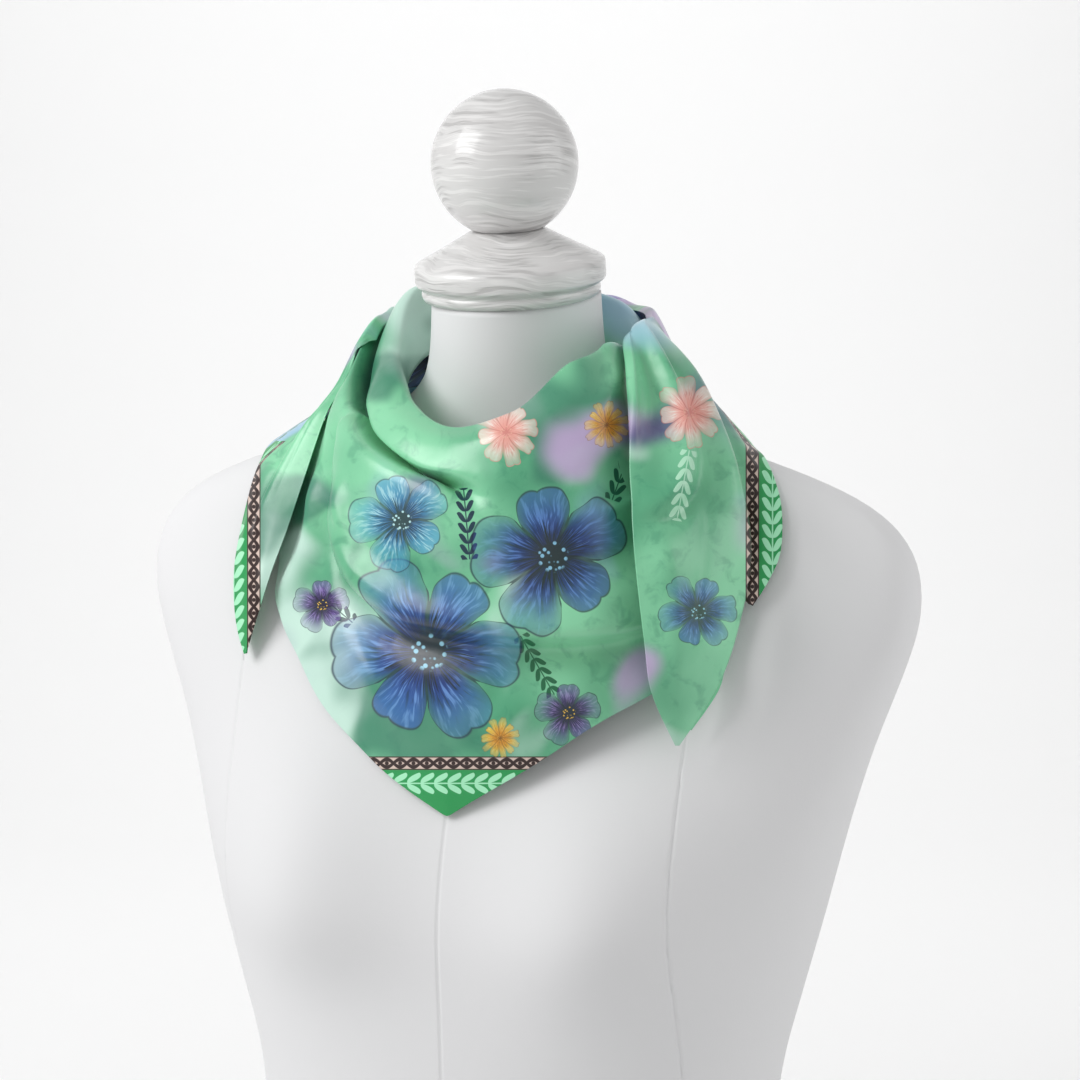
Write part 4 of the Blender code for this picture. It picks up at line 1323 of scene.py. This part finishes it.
class SCARF_OT_turned_wood(bpy.types.Operator):
    """Finish the turned neck cap and ball"""

    bl_idname = "scarf.turned_wood"
    bl_label = "Neck cap and ball"

    def execute(self, context):
        material = washed_wood(context.scene.scarf_form)
        turned = self.turn_cap(), self.turn_ball()
        lean = radians(LEAN)
        middle = NECK_TOP + (NECK_MIDDLE_Y - NECK_AXIS_Y) * sin(lean) / cos(lean)
        lifts = {"form_neck_cap": JOINT, "form_ball_finial": CAP_HEIGHT + 2 * JOINT}
        for piece, (node, lift) in zip(turned, lifts.items()):
            piece.data.name = piece.name
            piece.data.materials.append(material)
            piece.rotation_euler = (lean, 0, 0)
            piece.location = (0, (NECK_MIDDLE_Y - lift * sin(lean)) * MM, (middle + lift * cos(lean)) * MM)
            settle(piece)
            bpy.ops.object.shade_smooth_by_angle(angle=radians(34))
            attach(piece, BODY)
            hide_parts(node)
        return {"FINISHED"}

    def turn_cap(self):
        name = "neck_cap_wood"
        remove_old(name)
        mesh = bpy.data.meshes.new(name)
        points = [(radius * MM, 0, height * MM) for radius, height in CAP_PROFILE]
        mesh.from_pydata(points, [(place, place + 1) for place in range(len(points) - 1)], [])
        piece = bpy.data.objects.new(name, mesh)
        bpy.context.scene.collection.objects.link(piece)
        lathe = piece.modifiers.new("lathe", "SCREW")
        lathe.steps = TURNED_STEPS
        lathe.render_steps = TURNED_STEPS
        lathe.use_merge_vertices = True
        lathe.merge_threshold = 0.00001
        lathe.use_normal_calculate = True
        apply_modifiers(piece)
        face_outward(piece)
        return piece

    def turn_ball(self):
        name = "ball_finial_wood"
        remove_old(name)
        seat = (BALL_RADIUS**2 - BALL_FLAT**2) ** 0.5 * MM
        bpy.ops.mesh.primitive_uv_sphere_add(
            segments=TURNED_STEPS, ring_count=TURNED_STEPS // 2, radius=BALL_RADIUS * MM,
            location=(0, 0, seat),
        )
        piece = bpy.context.object
        piece.name = name
        settle(piece)
        edit_all()
        bpy.ops.mesh.bisect(plane_co=(0, 0, 0), plane_no=(0, 0, -1), use_fill=True, clear_outer=True)
        bpy.ops.object.mode_set(mode="OBJECT")
        face_outward(piece)
        return piece


class SCARF_OT_scarf(bpy.types.Operator):
    """Drape every stretch of the scarf, each over what carries it"""

    bl_idname = "scarf.scarf"
    bl_label = "Scarf"

    def execute(self, context):
        material = printed_silk(context.scene.scarf_silk)
        form = (form_tree(), FORM_REST, FAR, 1.0)
        cowl = laid_over(cowl_grid(), [form], closed=True)
        cowl_layer = (surface_tree(cowl, closed=True), LAP_REST, LAP_REACH)
        turns = front_turns()
        joined = turns >= JOIN_FROM[1]
        over_cowl = 1 - ramp(turns, *OVER_COWL_ENDS)
        front = laid_over(front_grid(), [form, (*cowl_layer, over_cowl)])
        top = cowl[COWL_BACK_RIGHT_TURNS:COWL_BACK_RIGHT_TURNS + len(turns), -1]
        reach = np.linspace(0, 1, front.shape[1])
        drawn = (1 - ramp(reach, 0, DRAWN_SHARE))[None, :, None] * ramp(turns, *JOIN_FROM)[:, None, None]
        front = front + (top - front[:, 0])[:, None] * drawn
        self.add_collar(cowl, front, joined, material)
        self.declare(
            "silk_collar_and_front", ("scarf_cowl", "scarf_front"), (0.36, 0.30), "folded",
            ["dress_form_body"], 0.084,
        )
        layers = [form, (*cowl_layer, 1.0), (surface_tree(front), LAP_REST, LAP_REACH, 1.0)]

        nape = laid_over(nape_grid(), layers)
        stations = nape_stations()
        split = NAPE_UPPER_STATIONS - 1
        wing = carried_on(end_grid(ENDS["right_wing"], stations), nape[-1])
        wing = laid_over(wing, layers, pinned=1)
        rear_places = (stations[split:] - SPLIT) / (1 - SPLIT)
        rear = carried_on(end_grid(ENDS["left_rear_wing"], rear_places), nape[0, split:])
        rear = laid_over(rear, layers, pinned=1)
        layers.append((surface_tree(rear, flip=True), LAP_REST, LAP_REACH, 1.0))
        under = laid_over(end_grid(ENDS["left_under_tail"], np.linspace(0, 1, UNDER_TAIL_COLUMNS)), layers)
        layers.append((surface_tree(under, flip=True), LAP_REST, LAP_REACH, 1.0))
        tail = carried_on(end_grid(ENDS["left_tail"], stations[: split + 1] / SPLIT), nape[0, : split + 1])
        tail = laid_over(tail, layers, pinned=1)
        self.add_back(nape, wing, rear, tail, split, material)
        self.declare(
            "silk_back_and_ends",
            ("scarf_nape_wrap", "scarf_right_wing", "scarf_left_rear_wing", "scarf_left_tail"),
            (0.72, 0.12), "draped", ["dress_form_body"], 0.061,
        )
        self.add_under_tail(under, material)
        self.declare(
            "silk_under_tail", ("scarf_left_under_tail",), (0.016, 0.078), "draped",
            ["dress_form_body"], 0.001,
        )
        return {"FINISHED"}

    def add_collar(self, cowl, front, joined, material):
        """The cowl's ring and the front as one sheet. They share an edge where they are joined."""
        rows, stations = cowl.shape[:2]
        first = COWL_BACK_RIGHT_TURNS
        columns = front.shape[1]
        index = rows * stations + np.arange(len(front) * columns).reshape(len(front), columns)
        index[joined, 0] = (first + np.nonzero(joined)[0]) * stations + stations - 1
        faces = np.concatenate([grid_faces(rows, stations, closed=True), quads(index)])
        points = np.concatenate([cowl.reshape(-1, 3), front.reshape(-1, 3)])
        hems = np.concatenate([np.zeros(rows * stations), hem_weights(front, last=True).reshape(-1)])
        used, compact = np.unique(faces, return_inverse=True)
        faces = compact.reshape(faces.shape)
        places, turns = print_place(points[used], 0.0)
        add_cloth("silk_collar_and_front", points[used], faces, places, turns, hems[used], material, 0.0)

    def add_under_tail(self, grid, material):
        faces = grid_faces(*grid.shape[:2])[:, ::-1]
        points = grid.reshape(-1, 3)
        places, turns = print_place(points, 1.0)
        hems = hem_weights(grid).reshape(-1)
        add_cloth("silk_under_tail", points, faces, places, turns, hems, material, 1.0)

    def add_back(self, nape, wing, rear, tail, split, material):
        """The wrap with the wing, the layer behind the tail and the tail, as one sheet."""
        columns = nape.shape[1]
        main = np.concatenate([nape, wing[1:]])
        start = len(main) * columns
        points = [main.reshape(-1, 3)]
        faces = [grid_faces(len(main), columns)]
        hems = [hem_weights(main, last=True).reshape(-1)]
        wraps = [1 - ramp(np.repeat(np.arange(len(main)) - len(nape), columns), 0, WRAP_FADE * len(wing))]
        for end, first in ((rear, split), (tail, 0)):
            rows, width = end.shape[:2]
            shared = first + np.arange(width)
            own = start + np.arange((rows - 1) * width).reshape(rows - 1, width)
            index = np.concatenate([shared[None], own])
            points.append(end[1:].reshape(-1, 3))
            faces.append(quads(index)[:, TURNED_OVER])
            hem = hem_weights(end, top=True, bottom=True, last=True)
            hems.append(hem[1:].reshape(-1))
            wraps.append(1 - ramp(np.repeat(np.arange(1, rows), width), 0, WRAP_FADE * rows))
            start += (rows - 1) * width
        points = np.concatenate(points)
        faces = np.concatenate(faces)
        hems = np.concatenate(hems)
        places, turns = print_place(points, np.concatenate(wraps))
        add_cloth("silk_back_and_ends", points, faces, places, turns, hems, material, 1.0)

    def declare(self, name, nodes, flat, held, rests_on, area=None):
        piece = bpy.data.objects[name]
        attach(piece, BODY)
        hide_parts(*nodes)


class SCARF_OT_studio(bpy.types.Operator):
    """Set up the pale floor, the soft lights and the camera"""

    bl_idname = "scarf.studio"
    bl_label = "Studio"

    def execute(self, context):
        look = context.scene.scarf_studio
        deselect_all()
        remove_old("studio_sweep")
        profile = [(-2.4, 0.0), (1.5, 0.0)]
        profile += [(1.5 + sin(radians(turn)), 1 - cos(radians(turn))) for turn in range(10, 91, 10)]
        profile.append((2.5, 3.2))
        along = np.array([cos(radians(VIEW_AZIMUTH)), sin(radians(VIEW_AZIMUTH))])
        away = np.array([-along[1], along[0]])
        points = [
            (*(side * along + back * away), height) for back, height in profile for side in (-3.0, 3.0)
        ]
        mesh = bpy.data.meshes.new("studio_sweep")
        mesh.from_pydata(points, [], grid_faces(len(profile), 2)[:, ::-1].tolist())
        mesh.polygons.foreach_set("use_smooth", np.ones(len(mesh.polygons), bool))
        floor = bpy.data.objects.new("studio_sweep", mesh)
        context.scene.collection.objects.link(floor)
        material, _, shader = new_material("white_studio_paper")
        shader.inputs["Base Color"].default_value = linear("#efefef")
        shader.inputs["Roughness"].default_value = 0.9
        floor.data.materials.append(material)

        world = bpy.data.worlds.new("studio")
        world.use_nodes = True
        background = world.node_tree.nodes["Background"]
        background.inputs["Color"].default_value = linear("#ffffff")
        background.inputs["Strength"].default_value = look.fill
        context.scene.world = world

        target = Vector(VIEW_TARGET)
        key = target + self.aside(-1.35, 0.85, 0.75)
        side = target + self.aside(1.5, 0.5, 0.4)
        over = target + self.aside(0, 1.3, -0.9)
        wall = target - self.aside(0, 0, 2.4)
        self.add_softbox("key_softbox", look.key_power, (1.0,), key, target)
        self.add_softbox("side_softbox", look.side_power, (1.2,), side, target)
        self.add_softbox("backdrop_softbox", look.backdrop_power, (2.6, 0.8), over, wall)

        eye = bpy.data.cameras.new("camera")
        eye.lens = look.lens
        eye.sensor_width = 36.0
        camera = bpy.data.objects.new("camera", eye)
        context.scene.collection.objects.link(camera)
        camera.location = target + self.aside(0, 0, VIEW_DISTANCE)
        camera.rotation_euler = self.aside(0, 0, -1).to_track_quat("-Z", "Y").to_euler()
        context.scene.camera = camera
        context.scene.view_settings.view_transform = "Standard"
        return {"FINISHED"}

    def aside(self, right, up, back):
        """A step in the view's own directions, in metres."""
        return Vector(np.array([right, up, back]) @ np.array(view_axes()))

    def add_softbox(self, name, power, sides, place, aim):
        lamp = bpy.data.lights.new(name, "AREA")
        lamp.shape = "SQUARE" if len(sides) == 1 else "RECTANGLE"
        lamp.size = sides[0]
        lamp.size_y = sides[-1]
        lamp.energy = power
        box = bpy.data.objects.new(name, lamp)
        bpy.context.scene.collection.objects.link(box)
        box.location = place
        box.rotation_euler = (aim - place).to_track_quat("-Z", "Y").to_euler()


class SCARF_PT_panel(bpy.types.Panel):
    """Scarf on a dress form"""

    bl_idname = "SCARF_PT_panel"
    bl_label = "Silk scarf"
    bl_space_type = "VIEW_3D"
    bl_region_type = "UI"
    bl_category = "Scarf"

    def draw(self, context):
        layout = self.layout
        for group in ("scarf_silk", "scarf_form", "scarf_studio"):
            settings = getattr(context.scene, group)
            for name in settings.__annotations__:
                layout.prop(settings, name)
        for operator in OPERATORS:
            layout.operator(operator.bl_idname)


GROUPS = {"scarf_silk": SCARF_PG_silk, "scarf_form": SCARF_PG_form, "scarf_studio": SCARF_PG_studio}
OPERATORS = (SCARF_OT_form_body, SCARF_OT_turned_wood, SCARF_OT_scarf, SCARF_OT_studio)


def register():
    for group in GROUPS.values():
        bpy.utils.register_class(group)
    for name, group in GROUPS.items():
        setattr(bpy.types.Scene, name, PointerProperty(type=group))
    for operator in OPERATORS:
        bpy.utils.register_class(operator)
    bpy.utils.register_class(SCARF_PT_panel)


def unregister():
    bpy.utils.unregister_class(SCARF_PT_panel)
    for operator in reversed(OPERATORS):
        bpy.utils.unregister_class(operator)
    for name, group in GROUPS.items():
        delattr(bpy.types.Scene, name)
        bpy.utils.unregister_class(group)


def main():
    register()
    bpy.ops.scarf.form_body()
    bpy.ops.scarf.turned_wood()
    bpy.ops.scarf.scarf()
    bpy.ops.scarf.studio()
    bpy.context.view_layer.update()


if __name__ == "__main__":
    main()
